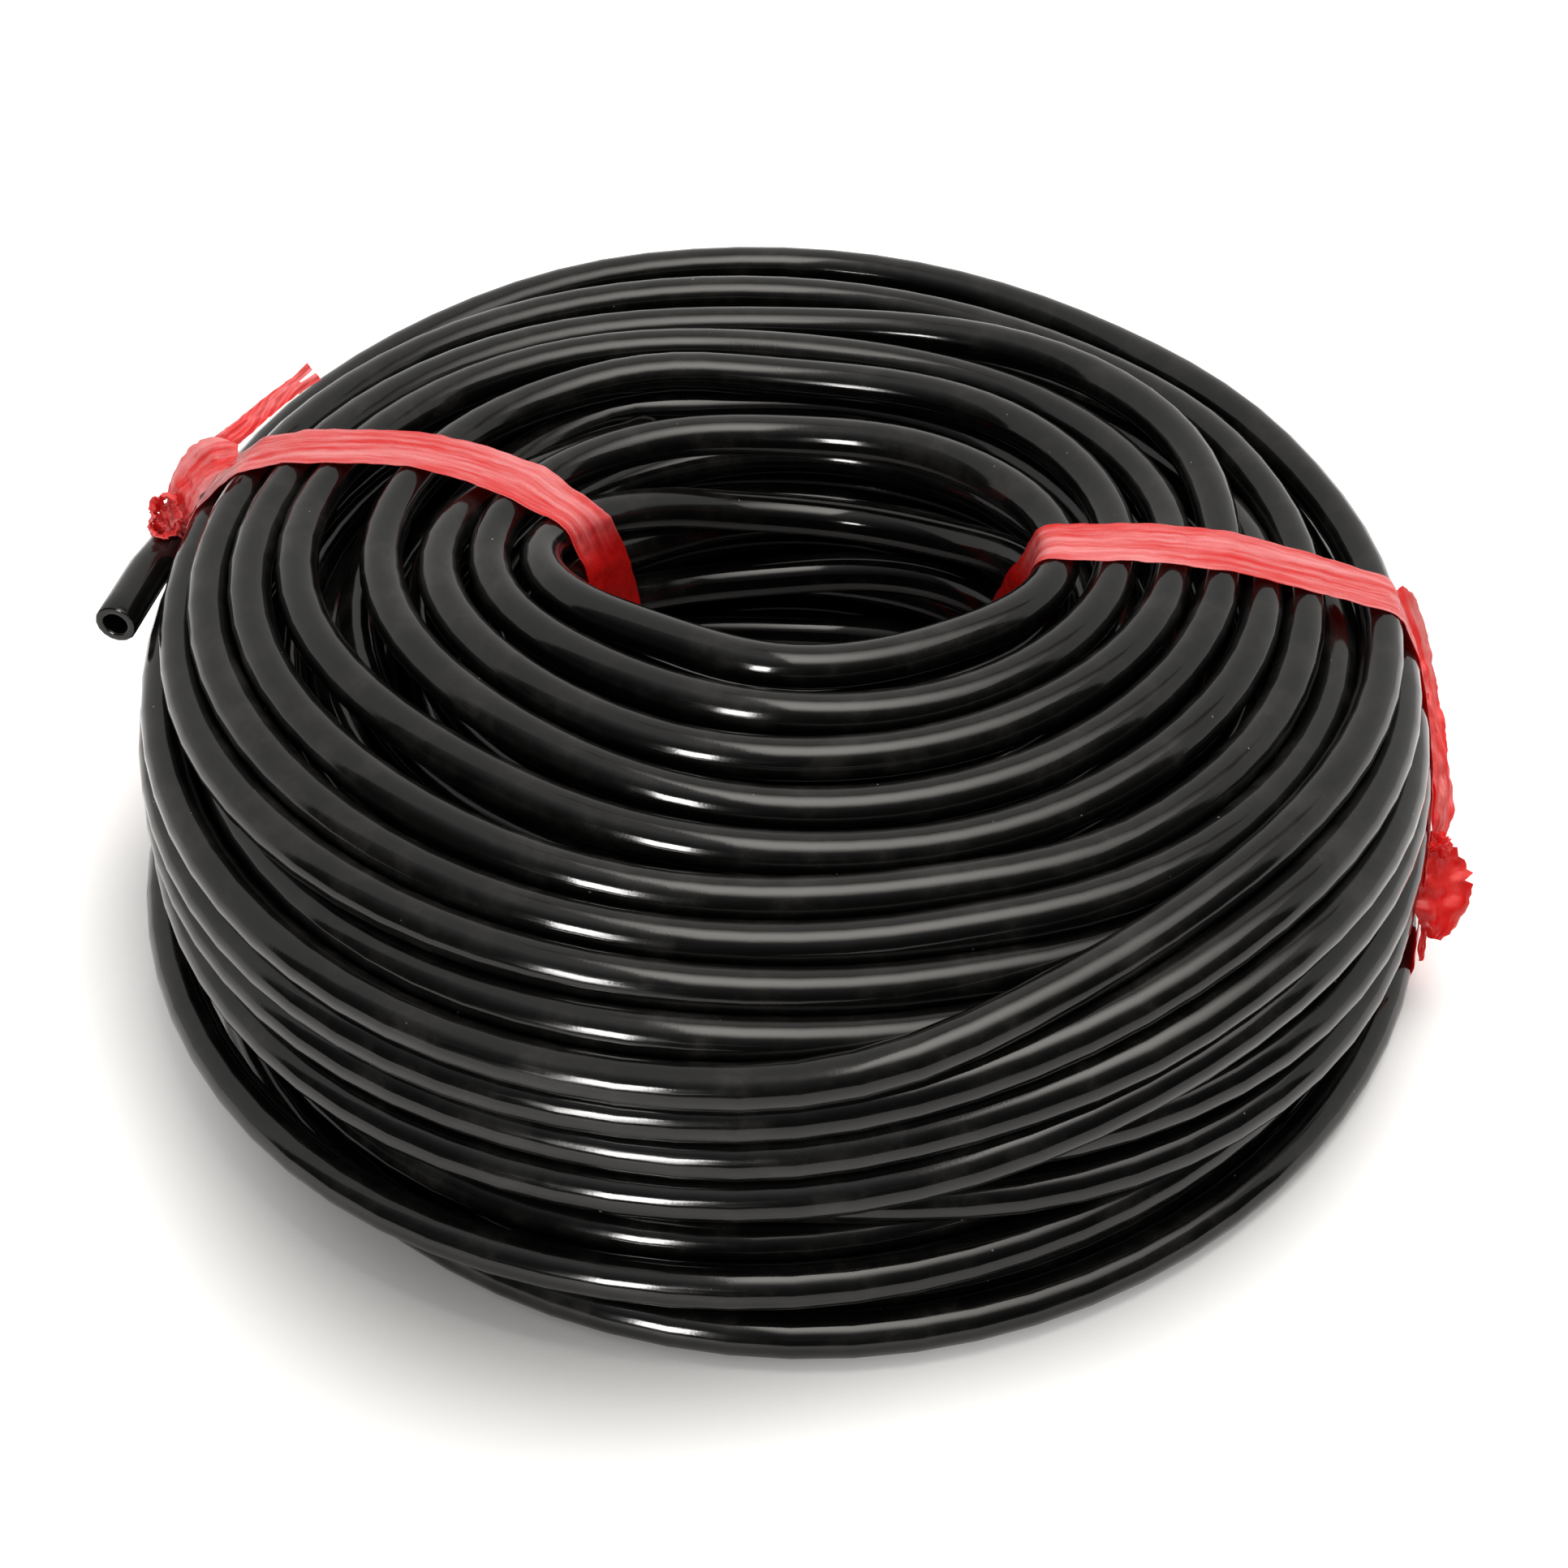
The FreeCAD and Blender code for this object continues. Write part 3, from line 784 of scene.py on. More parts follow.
@dataclass(frozen=True)
class FilmFinish:
    """Thin red plastic film: see-through where single, deep red where folded.

    Attributes:
        name: the finish's name.
        colour: the film's red.
        pale_and_lit_red: the pale red of stretched film, laid only on the top and the outside of the coil,
            where it is also a painted lit sheen.
        clear: how much shows through it.
        glow: how much light comes through from behind.
        through: the colour of that light.
        tint: the colour of what shows through.
        pulls: how fine the stretch marks are.
        crinkles: how fine the crinkles are.
        top: heights in metres between which the film turns to that pale red, the painted lit side of the
            coil.
        side: distances from the axis in metres between which it does so.
    """

    name: str = "film_red"
    colour: Colour = (0.86, 0.014, 0.012, 1.0)
    pale_and_lit_red: Colour = (0.98, 0.42, 0.42, 1.0)
    clear: float = 0.18
    glow: float = 0.24
    through: Colour = (0.9, 0.03, 0.035, 1.0)
    tint: Colour = (0.95, 0.10, 0.10, 1.0)
    pulls: float = 560.0
    crinkles: float = 420.0
    top: Spot = (0.060, 0.072)
    side: Spot = (0.056, 0.074)

    def outside(self, nodes: Nodes, where: bpy.types.NodeSocket) -> bpy.types.NodeSocket:
        """Tells the film on the top and the outside of the coil, which gets the painted lit pale red, from
        the film down in its hole, which keeps a painted shaded deep red.

        Args:
            nodes: the material's node helper.
            where: the piece's coordinates.

        Returns:
            1 on the top and the outside of the coil, 0 in the hole.
        """
        split = nodes.add("ShaderNodeSeparateXYZ", Vector=where).outputs
        squares = [nodes.math("POWER", split[axis], 2.0) for axis in "XY"]
        away = nodes.math("SQRT", nodes.math("ADD", *squares))
        return nodes.math("MAXIMUM", nodes.between(split["Z"], *self.top), nodes.between(away, *self.side))

    def make(self, dust: bpy.types.NodeTree) -> bpy.types.Material:
        """Makes the material.

        Args:
            dust: the group of dust masks.

        Returns:
            The material.
        """
        material, nodes, body = new_material(self.name)
        where = nodes.add("ShaderNodeTexCoord").outputs["Object"]
        lay = nodes.add("ShaderNodeAttribute", attribute_name="lay").outputs["Vector"]
        masks = nodes.add("ShaderNodeGroup", node_tree=dust, Coordinates=where).outputs
        pulls = nodes.noise(lay, self.pulls, 4.0, 0.6)
        crinkle = nodes.noise(where, self.crinkles, 4.0, 0.6)
        stretched = nodes.between(pulls, 0.30, 0.72, 0.03, 0.97)
        # Painted light: the pale red shows only on the top and the outside of the coil as a painted lit
        # sheen, and the film in the hole keeps the deep red as painted shade; within that, the stretch marks
        # set where it shows
        pale_and_lit_share = nodes.math("MULTIPLY", stretched, self.outside(nodes, where))
        nodes.feed(body.inputs["Base Color"], nodes.mix(pale_and_lit_share, self.colour, self.pale_and_lit_red))
        nodes.feed(body.inputs["Roughness"], nodes.between(crinkle, 0.3, 0.7, 0.22, 0.42))
        skin = nodes.bump(crinkle, 0.35, 0.0005, nodes.bump(pulls, 0.25, 0.0002))
        nodes.feed(body.inputs["Normal"], skin)
        through = nodes.add("ShaderNodeBsdfTranslucent", Color=self.through, Normal=skin)
        glowing = self.blend(nodes, self.glow, body, through)
        see = nodes.add("ShaderNodeBsdfTransparent", Color=self.tint)
        share = nodes.math("MULTIPLY", nodes.between(pulls, 0.35, 0.65, 1.3, 0.6), self.clear)
        share = nodes.math("MULTIPLY", share, nodes.math("SUBTRACT", 1.0, masks["Specks"]))
        mixed = self.blend(nodes, share, glowing, see)
        nodes.feed(material.node_tree.nodes["Material Output"].inputs["Surface"], mixed.outputs[0])
        return material

    @staticmethod
    def blend(nodes: Nodes, share: object, first: bpy.types.Node, second: bpy.types.Node) -> bpy.types.Node:
        """Mixes two shaders.

        Args:
            nodes: the material's node helper.
            share: how much of the second shows.
            first: a shader.
            second: a shader.

        Returns:
            The Mix Shader node.
        """
        mixed = nodes.add("ShaderNodeMixShader", Fac=share)
        for socket, shader in zip(mixed.inputs[1:], (first, second)):
            nodes.feed(socket, shader.outputs[0])
        return mixed


def film_finishes(dust: bpy.types.NodeTree) -> dict[Layers, bpy.types.Material]:
    """Makes the film's finishes.

    Args:
        dust: the group of dust masks.

    Returns:
        The material for each number of layers.
    """
    films = {
        Layers.THIN: FilmFinish(
            "film_red_thin",
            colour=(0.92, 0.060, 0.055, 1.0),
            pale_and_lit_red=(1.0, 0.66, 0.63, 1.0),
            clear=0.30,
            glow=0.40,
        ),
        Layers.SINGLE: FilmFinish(),
        Layers.FOLDED: FilmFinish(
            "film_red_folded",
            colour=(0.80, 0.004, 0.004, 1.0),
            pale_and_lit_red=(0.92, 0.060, 0.050, 1.0),
            clear=0.06,
            glow=0.42,
        ),
    }
    return {layers: film.make(dust) for layers, film in films.items()}


# The tube


@dataclass
class Hose:
    """The one length of tube: a straight cut end, a tail round the back, then all the turns.

    Attributes:
        diameter: the outside, in metres.
        bore: the inside, in metres.
        length: its real length, in metres; not used.
        mouth: the middle of the cut end.
        heading: the direction from the cut end into the tube.
        straight: millimetres from the mouth of the points that keep the end straight.
        bore_depth: how deep the open bore is drawn.
        lip: how far the cut end's edges are rounded.
        sides: the number of faces round the tube.
        steps: the number of rings for each point of the curve.
        stretch: how much a length along the tube counts in its streaks, which draws them out.
        winding: where the tube lies.
    """

    diameter: float = 7.0 * MM
    bore: float = 4.0 * MM
    length: float = 33.5
    mouth: Place = (-0.110212, -0.004314, 0.055)
    heading: Place = (0.19081, 0.98163, 0.0)
    straight: tuple[float, ...] = (0.0, 5.0, 11.0, 17.0)
    bore_depth: float = 14.0 * MM
    lip: float = 0.35 * MM
    sides: int = 16
    steps: int = 2
    stretch: float = 0.03
    winding: Winding = field(default_factory=Winding)

    def points(self) -> np.ndarray:
        """Lists the curve's control points.

        Returns:
            Points in metres, from the mouth to the hidden end.
        """
        run, spots = self.winding.settle()

        # A curve cuts its control points' corners, so these lie a little further out
        swell = 1 + (1 - math.cos(math.radians(180 / self.winding.stations)))
        wound = place_on_coil(run, spots * np.array([swell, 1.0]))
        straight = [np.array(self.mouth) + np.array(self.heading) * step * MM for step in self.straight]
        return np.vstack([straight, wound[1:]])

    def curve(self, name: str, points: np.ndarray, depth: float) -> bpy.types.Object:
        """Lays one open NURBS curve.

        Args:
            name: the object's name.
            points: its control points, in metres.
            depth: the radius of its round bevel, 0 for none.

        Returns:
            The curve object, linked to the scene.
        """
        data = bpy.data.curves.new(name, "CURVE")
        data.dimensions = "3D"
        data.twist_mode = "Z_UP"
        line = data.splines.new("NURBS")
        line.points.add(len(points) - 1)
        for point, place in zip(line.points, points):
            point.co = (*place, 1.0)
        line.order_u = 3
        line.use_endpoint_u = True
        data.resolution_u = self.steps
        data.bevel_depth = depth
        data.bevel_resolution = (self.sides - 4) // 2
        piece = bpy.data.objects.new(name, data)
        bpy.context.scene.collection.objects.link(piece)
        return piece

    def centreline(self, points: np.ndarray) -> np.ndarray:
        """Reads the line that the tube follows from a curve without a bevel.

        Args:
            points: the curve's control points, in metres.

        Returns:
            Points on the line, in metres.
        """
        thin = self.curve("hose_line", points, 0.0)
        bpy.context.view_layer.update()
        mesh = bpy.data.meshes.new_from_object(thin.evaluated_get(bpy.context.evaluated_depsgraph_get()))
        line = np.array([vertex.co for vertex in mesh.vertices], float)
        bpy.data.meshes.remove(mesh)
        bpy.data.objects.remove(thin)
        return line

    def cut_end(self, piece: bpy.types.Object) -> None:
        """Shapes the mouth: the cut face, the bore and its floor, then the far end's cap.

        Args:
            piece: the tube's open mesh, as the active object.
        """
        mouth, heading = Vector(self.mouth), Vector(self.heading)
        far = Vector(piece.data.vertices[-1].co)
        reach = self.diameter * 1.2

        def on_cut(edge: bmesh.types.BMEdge) -> bool:
            """Tells whether an edge lies in the cut face."""
            arms = [vertex.co - mouth for vertex in edge.verts]
            return all(abs(arm.dot(heading)) < 0.02 * MM and arm.length < reach for arm in arms)

        def on_rim(radius: float) -> Callable[[bmesh.types.BMEdge], bool]:
            """Makes a test for the edges of the cut face that lie at a radius.

            Args:
                radius: the radius round the mouth's middle.

            Returns:
                The test.
            """
            return lambda edge: on_cut(edge) and all(
                abs((vertex.co - mouth).length - radius) < 0.05 * MM for vertex in edge.verts
            )

        def on_far_end(edge: bmesh.types.BMEdge) -> bool:
            """Tells whether an edge lies round the open far end."""
            return edge.is_boundary and (edge.verts[0].co - far).length < reach

        bpy.ops.object.mode_set(mode="EDIT")
        pick(piece, Parts.EDGES, on_cut)
        share = self.bore / self.diameter
        bpy.ops.mesh.extrude_region_move()
        bpy.ops.transform.resize(value=(share, share, share), center_override=mouth)
        bpy.ops.mesh.extrude_region_move(TRANSFORM_OT_translate={"value": heading * self.bore_depth})
        bpy.ops.mesh.edge_face_add()
        for radius in (self.diameter / 2, self.bore / 2):
            pick(piece, Parts.EDGES, on_rim(radius))
            bpy.ops.mesh.bevel(offset=self.lip, segments=2, affect="EDGES")
        pick(piece, Parts.EDGES, on_far_end)
        bpy.ops.mesh.edge_face_add()
        bpy.ops.mesh.select_all(action="SELECT")
        bpy.ops.mesh.normals_make_consistent(inside=False)
        bpy.ops.object.mode_set(mode="OBJECT")

    def mark_lay(self, piece: bpy.types.Object, line: np.ndarray) -> None:
        """Writes coordinates that run along and round the tube, for its streaks.

        Args:
            piece: the finished mesh, whose first vertices are the rings in order.
            line: the centreline, a point per ring.
        """
        count = len(piece.data.vertices)
        rings = np.minimum(np.arange(count) // self.sides, len(line) - 1)
        rings[len(line) * self.sides:] = 0
        along = distances(line)
        ahead = np.gradient(line, axis=0)
        ahead /= np.linalg.norm(ahead, axis=1)[:, None]
        side = np.cross(ahead, np.array([0.0, 0.0, 1.0]))
        side /= np.linalg.norm(side, axis=1)[:, None]
        up = np.cross(side, ahead)
        place = np.zeros(count * 3)
        piece.data.vertices.foreach_get("co", place)
        arm = place.reshape(-1, 3) - line[rings]
        across = [(arm * side[rings]).sum(1), (arm * up[rings]).sum(1)]
        write_lay(piece, np.stack([*across, along[rings] * self.stretch], axis=1))

    def build(self) -> tuple[bpy.types.Object, np.ndarray]:
        """Builds the tube.

        Returns:
            The tube and its centreline.
        """
        points = self.points()
        line = self.centreline(points)
        piece = self.curve("hose", points, self.diameter / 2)
        take(piece)
        bpy.ops.object.convert(target="MESH")
        piece = bpy.context.object
        self.cut_end(piece)
        self.mark_lay(piece, line)
        take(piece)
        bpy.ops.object.shade_smooth_by_angle(angle=math.radians(50))
        return piece, line

    def dress(self, piece: bpy.types.Object, line: np.ndarray, finish: bpy.types.Material) -> None:
        """Gives the tube its finish and says how long a cord it is.

        Args:
            piece: the tube.
            line: its centreline, in metres.
            finish: the tube's material.
        """
        settle_on(piece, Slot.TUBE, finish, "hose_outer_turns", "hose_inner_turns", "hose_free_end")
        log.info("hose: %.2f m along its centreline", distances(line)[-1])
        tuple(self.mouth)


# The film ties


@dataclass
class Section:
    """The tight outline of the winding at the azimuths of one tie.

    Attributes:
        line: points close together along the tube's centreline, in metres.
        lowest: the first azimuth, in degrees anticlockwise from the coil's right.
        highest: the last azimuth.
        radius: half the tube's outside, in millimetres like the next lengths.
        middle: a radius and height inside the winding, from which the outline is measured.
        slack: how far the film stays off the tube.
        half_width: how near an azimuth the tube has to pass to count there.
        step: degrees between azimuths.
        fan: degrees between the directions in which the outline is measured.
        spread: degrees between the points drawn round a turn.
        usual: the distance to the outline where a direction misses it.
    """

    line: np.ndarray
    lowest: float
    highest: float
    radius: float = 3.5
    middle: Spot = (70.0, 35.0)
    slack: float = 0.10
    half_width: float = 1.6
    step: float = 2.0
    fan: float = 2.0
    spread: float = 15.0
    usual: float = 35.0

    def __post_init__(self) -> None:
        """Measures the outline at each azimuth in turn."""
        self.directions = np.arange(0, 361, self.fan)
        self.azimuths = np.arange(self.lowest, self.highest + self.step, self.step)
        self.table = np.array([self.reach(azimuth) for azimuth in self.azimuths])

    def reach(self, azimuth: float) -> np.ndarray:
        """Measures the outline of the turns that pass an azimuth.

        Args:
            azimuth: degrees anticlockwise from the coil's right.

        Returns:
            Millimetres from the section's middle to the outline, in each direction.
        """
        flat = self.line / MM - CENTRE
        angle = math.radians(azimuth)
        out = flat @ np.array([math.cos(angle), math.sin(angle), 0.0])
        side = flat @ np.array([-math.sin(angle), math.cos(angle), 0.0])
        near = (np.abs(side) < self.half_width) & (out > 0)
        spots = np.stack([out[near], flat[near, 2]], axis=1)
        turns = np.radians(np.arange(0, 360, self.spread))
        ring = np.stack([np.cos(turns), np.sin(turns)], axis=1) * (self.radius + self.slack)
        outline = self.outline((spots[:, None, :] + ring[None]).reshape(-1, 2))
        return np.array([self.cross(outline, math.radians(d)) for d in self.directions])

    def outline(self, cloud: np.ndarray) -> list[np.ndarray]:
        """Draws the tight outline round a cloud of points.

        Args:
            cloud: the points, one per row.

        Returns:
            The outline's corners, anticlockwise.
        """
        points = sorted({(round(float(a), 3), round(float(b), 3)) for a, b in cloud})
        corners: list[np.ndarray] = []
        for row in (points, points[::-1]):
            kept: list[Spot] = []
            for point in row:
                while len(kept) > 1 and self.turn(kept[-2], kept[-1], point) <= 0:
                    kept.pop()
                kept.append(point)
            corners += [np.array(point) for point in kept[:-1]]
        return corners

    @staticmethod
    def turn(a: Spot, b: Spot, c: Spot) -> float:
        """Above zero where c lies to the left of the line from a to b."""
        return (b[0] - a[0]) * (c[1] - a[1]) - (b[1] - a[1]) * (c[0] - a[0])

    def cross(self, outline: list[np.ndarray], direction: float) -> float:
        """Finds where a direction from the middle meets the outline.

        Args:
            outline: the outline's corners, in order.
            direction: the direction, in radians.

        Returns:
            How far the outline is from the middle there.
        """
        aim = np.array([math.cos(direction), math.sin(direction)])
        for a, b in zip(outline, outline[1:] + outline[:1]):
            edge = b - a
            det = aim[1] * edge[0] - aim[0] * edge[1]
            if abs(det) < 1e-9:
                continue
            gap = a - np.array(self.middle)
            reach = (gap[1] * edge[0] - gap[0] * edge[1]) / det
            share = (aim[0] * gap[1] - aim[1] * gap[0]) / det
            if reach > 0 and -1e-6 <= share <= 1 + 1e-6:
                return float(reach)
        return self.usual

    def press(self, points: np.ndarray, lift: np.ndarray) -> np.ndarray:
        """Moves points in or out until they lie on the outline.

        Args:
            points: places in millimetres in the row frame.
            lift: how far above the outline each of them stays.

        Returns:
            The moved places.
        """
        flat = points - CENTRE
        azimuth = np.degrees(np.arctan2(flat[:, 1], flat[:, 0]))
        azimuth = np.where(azimuth < self.lowest - 90, azimuth + 360, azimuth)
        radius = np.hypot(flat[:, 0], flat[:, 1])
        arm = np.stack([radius - self.middle[0], points[:, 2] - self.middle[1]], axis=1)
        direction = np.degrees(np.arctan2(arm[:, 1], arm[:, 0])) % 360
        row = np.clip((azimuth - self.lowest) / self.step, 0, len(self.azimuths) - 1.001)
        column = direction / self.fan
        i, j = row.astype(int), column.astype(int)
        u, v = row - i, column - j
        reach = (
            self.table[i, j] * (1 - u) * (1 - v) + self.table[i + 1, j] * u * (1 - v)
            + self.table[i, j + 1] * (1 - u) * v + self.table[i + 1, j + 1] * u * v
        ) + lift
        aim = np.radians(direction)
        spots = np.stack([self.middle[0] + reach * np.cos(aim), self.middle[1] + reach * np.sin(aim)], axis=1)
        return place_on_coil(90 - azimuth, spots) / MM


@dataclass
class FilmStrip:
    """A strip of film laid along a line, with lengthwise pleats and crumples.

    Attributes:
        name: the piece's name.
        places: the line, in millimetres like all lengths here.
        facing: the direction that the film faces at each place.
        widths: the film's width at each place.
        columns: the number of points across the film.
        pleat: how high its pleats are.
        pleats: how many of them lie side by side.
        crumple: how high its crumples are.
        ragged: how much its edges are torn.
        thickness: how thick the film is.
        closed: whether its ends are joined.
        fork: how far apart its torn end stands.
        torn_rows: how many rows of that end are torn.
        stretch: how much a length along the film counts in its stretch marks, which draws them out.
        seed: picks the film's own pleats and crumples.
        section: the outline that the film is pressed on, if any.
    """

    name: str
    places: np.ndarray
    facing: np.ndarray
    widths: np.ndarray
    columns: int = 21
    pleat: float = 0.08
    pleats: float = 1.8
    crumple: float = 0.08
    ragged: float = 0.0
    thickness: float = 0.10
    closed: bool = False
    fork: float = 0.0
    torn_rows: int = 6
    stretch: float = 0.06
    seed: int = 1
    section: Optional[Section] = None

    def frames(self) -> tuple[np.ndarray, np.ndarray]:
        """Works out how the film lies at every place.

        Returns:
            The sideways and the outward direction at every place.
        """
        if self.closed:
            ahead = np.roll(self.places, -1, axis=0) - np.roll(self.places, 1, axis=0)
        else:
            ahead = np.gradient(self.places, axis=0)
        ahead /= np.linalg.norm(ahead, axis=1)[:, None]
        side = np.cross(self.facing, ahead)
        side /= np.linalg.norm(side, axis=1)[:, None]
        return side, np.cross(ahead, side)

    def pattern_spot(self, share: float, along: float) -> Vector:
        """Picks where a row of the film reads the pattern of its pleats.

        Args:
            share: how far round a closed film the row lies, from 0 to 1.
            along: millimetres from the start of an open film to the row.

        Returns:
            A spot that meets its own start again where the film is closed.
        """
        if self.closed:
            turn = share * math.tau
            return Vector((math.cos(turn) * 5, math.sin(turn) * 5, self.seed))
        return Vector((along * 0.06, 3.1, self.seed))

    def shape(self) -> tuple[np.ndarray, np.ndarray]:
        """Pleats, crumples and tears the film.

        Returns:
            The film's points in metres, row by row, and the coordinates of its stretch marks.
        """
        side, out = self.frames()
        across = np.linspace(-0.5, 0.5, self.columns)
        along = distances(self.places)
        flat, lifts, outs, lay = [], [], [], []
        total = len(self.places)
        for i, place in enumerate(self.places):
            spot = self.pattern_spot(i / total, along[i])
            drift = noise.noise(spot) * 2.2
            strength = 0.45 + 1.1 * abs(noise.noise(spot * 1.7 + Vector((9, 0, 0))))
            waver = [noise.noise(spot * 2.3 + Vector((0, 7, half))) * 0.05 for half in (0, 5)]
            torn = [noise.noise(Vector((along[i] * 1.3, half, self.seed))) * self.ragged for half in (0, 5)]
            end = (total - 1 - i) / self.torn_rows
            for x in across:
                half = int(x > 0)
                wave = math.cos((x * self.pleats + drift) * math.tau) * self.pleat * strength
                fine = math.cos((x * self.pleats * 2.7 - drift * 2.1) * math.tau) * self.pleat * 0.2
                bumps = noise.noise(Vector((along[i] * 0.45, x * 3.0, self.seed * 3.7))) * self.crumple * 2
                shift = waver[half] + torn[half]
                point = place + side[i] * self.widths[i] * x * (1 + 2 * shift * abs(x))
                if self.fork and end < 1:
                    point = point + side[i] * (1 - end) * self.fork * (half - 0.5)
                flat.append(point)
                lifts.append(wave + fine + bumps + self.pleat + self.crumple)
                outs.append(out[i])
                lay.append((x * self.widths[i] * MM, lifts[-1] * MM * 0.5, along[i] * MM * self.stretch))
        flat, lifts, outs = np.array(flat), np.maximum(np.array(lifts), 0.02), np.array(outs)
        if self.section is not None:
            return self.section.press(flat, lifts) * MM, np.array(lay)
        return (flat + outs * lifts[:, None]) * MM, np.array(lay)

    def build(self) -> bpy.types.Object:
        """Builds the film from a grid.

        Returns:
            The film as a mesh with a thickness.
        """
        points, lay = self.shape()
        rows = len(self.places)
        deselect()
        bpy.ops.mesh.primitive_grid_add(x_subdivisions=self.columns - 1, y_subdivisions=rows - 1, size=0.01)
        piece = bpy.context.object
        piece.name = self.name
        piece.data.name = self.name
        piece.data.vertices.foreach_set("co", points.ravel())
        write_lay(piece, lay)
        if self.closed:
            self.join_ends(piece)
        if self.fork:
            self.split_end(piece)
        solid = piece.modifiers.new("thickness", "SOLIDIFY")
        solid.thickness = self.thickness * MM
        solid.offset = 0.0
        bpy.ops.object.modifier_apply(modifier=solid.name)
        bpy.ops.object.mode_set(mode="EDIT")
        bpy.ops.mesh.select_all(action="SELECT")
        bpy.ops.mesh.normals_make_consistent(inside=False)
        bpy.ops.object.mode_set(mode="OBJECT")
        bpy.ops.object.shade_smooth_by_angle(angle=math.radians(60))
        return piece

    def join_ends(self, piece: bpy.types.Object) -> None:
        """Bridges the first and last row of a closed strip.

        Args:
            piece: the film's grid, as the active object.
        """
        last = (len(self.places) - 1) * self.columns

        def at_end(edge: bmesh.types.BMEdge) -> bool:
            """Tells whether an edge lies in the first or the last row."""
            a, b = (vertex.index for vertex in edge.verts)
            return max(a, b) < self.columns or min(a, b) >= last

        bpy.ops.object.mode_set(mode="EDIT")
        pick(piece, Parts.EDGES, at_end)
        bpy.ops.mesh.bridge_edge_loops()
        bpy.ops.object.mode_set(mode="OBJECT")

    def split_end(self, piece: bpy.types.Object) -> None:
        """Tears the last rows of the strip down the middle.

        Args:
            piece: the film's grid, as the active object.
        """
        middle = self.columns // 2
        first_torn = len(self.places) - self.torn_rows

        def in_tear(face: bmesh.types.BMFace) -> bool:
            """Tells whether a face lies in the tear."""
            row, column = divmod(min(vertex.index for vertex in face.verts), self.columns)
            return row >= first_torn and middle - 1 <= column < middle + 1

        bpy.ops.object.mode_set(mode="EDIT")
        pick(piece, Parts.FACES, in_tear)
        bpy.ops.mesh.delete(type="FACE")
        bpy.ops.object.mode_set(mode="OBJECT")


@dataclass(frozen=True)
class LooseEnd:
    """A loose strip of a tie.

    Attributes:
        name: the piece's name.
        stops: places about the coil's axis, each with the strip's width there, in millimetres.
        facing: the direction that the film faces.
        pleat: how high its pleats are.
        crumple: how high its crumples are.
        ragged: how much its edges are torn.
        fork: how far apart its torn end stands.
        layers: how many layers of film lie there.
        seed: picks the film's own pleats and crumples.
    """

    name: str
    stops: tuple[tuple[float, float, float, float], ...]
    facing: Place
    pleat: float = 0.35
    crumple: float = 0.35
    ragged: float = 0.2
    fork: float = 0.0
    layers: Layers = Layers.SINGLE
    seed: int = 5

    def strip(self) -> FilmStrip:
        """Lays the strip along a smooth line through its stops.

        Returns:
            The strip, not built yet.
        """
        line = smooth_through(np.array(self.stops), 0.6)
        facing = np.tile(np.array(self.facing), (len(line), 1))
        return FilmStrip(self.name, line[:, :3] + CENTRE, facing, line[:, 3], columns=17, pleat=self.pleat,
                         crumple=self.crumple, ragged=self.ragged, fork=self.fork, seed=self.seed)


@dataclass(frozen=True)
class FilmLoop:
    """A small crumpled loop of film that stands on a knot.

    Attributes:
        name: the piece's name.
        middle: the loop's middle about the coil's axis, in millimetres.
        right: the loop's sideways direction.
        up: its upward direction.
        reach: how far it reaches in each of them.
        width: the film's width.
        seed: picks the film's own pleats and crumples.
    """

    name: str
    middle: Place
    right: Place
    up: Place
    reach: Spot
    width: float
    seed: int = 4

    def wobble(self, turn: float) -> float:
        """Returns how much larger than usual the loop is at a turn in radians."""
        spot = Vector((math.cos(turn) * 1.4, math.sin(turn) * 1.4, self.seed))
        return 1 + 0.22 * noise.noise(spot)

    def strip(self) -> FilmStrip:
        """Lays the loop as a closed strip round its middle.

        Returns:
            The strip, not built yet.
        """
        turns = np.linspace(0, math.tau, 40, endpoint=False)
        wobble = np.array([self.wobble(turn) for turn in turns])
        sideways = np.outer(np.cos(turns) * self.reach[0], self.right)
        upwards = np.outer(np.sin(turns) * self.reach[1], self.up)
        arms = (sideways + upwards) * wobble[:, None]
        places = np.array(self.middle) + CENTRE + arms
        return FilmStrip(self.name, places, arms, self.width * wobble, columns=17, pleat=0.45, pleats=1.6,
                         crumple=0.55, ragged=0.25, closed=True, seed=self.seed)


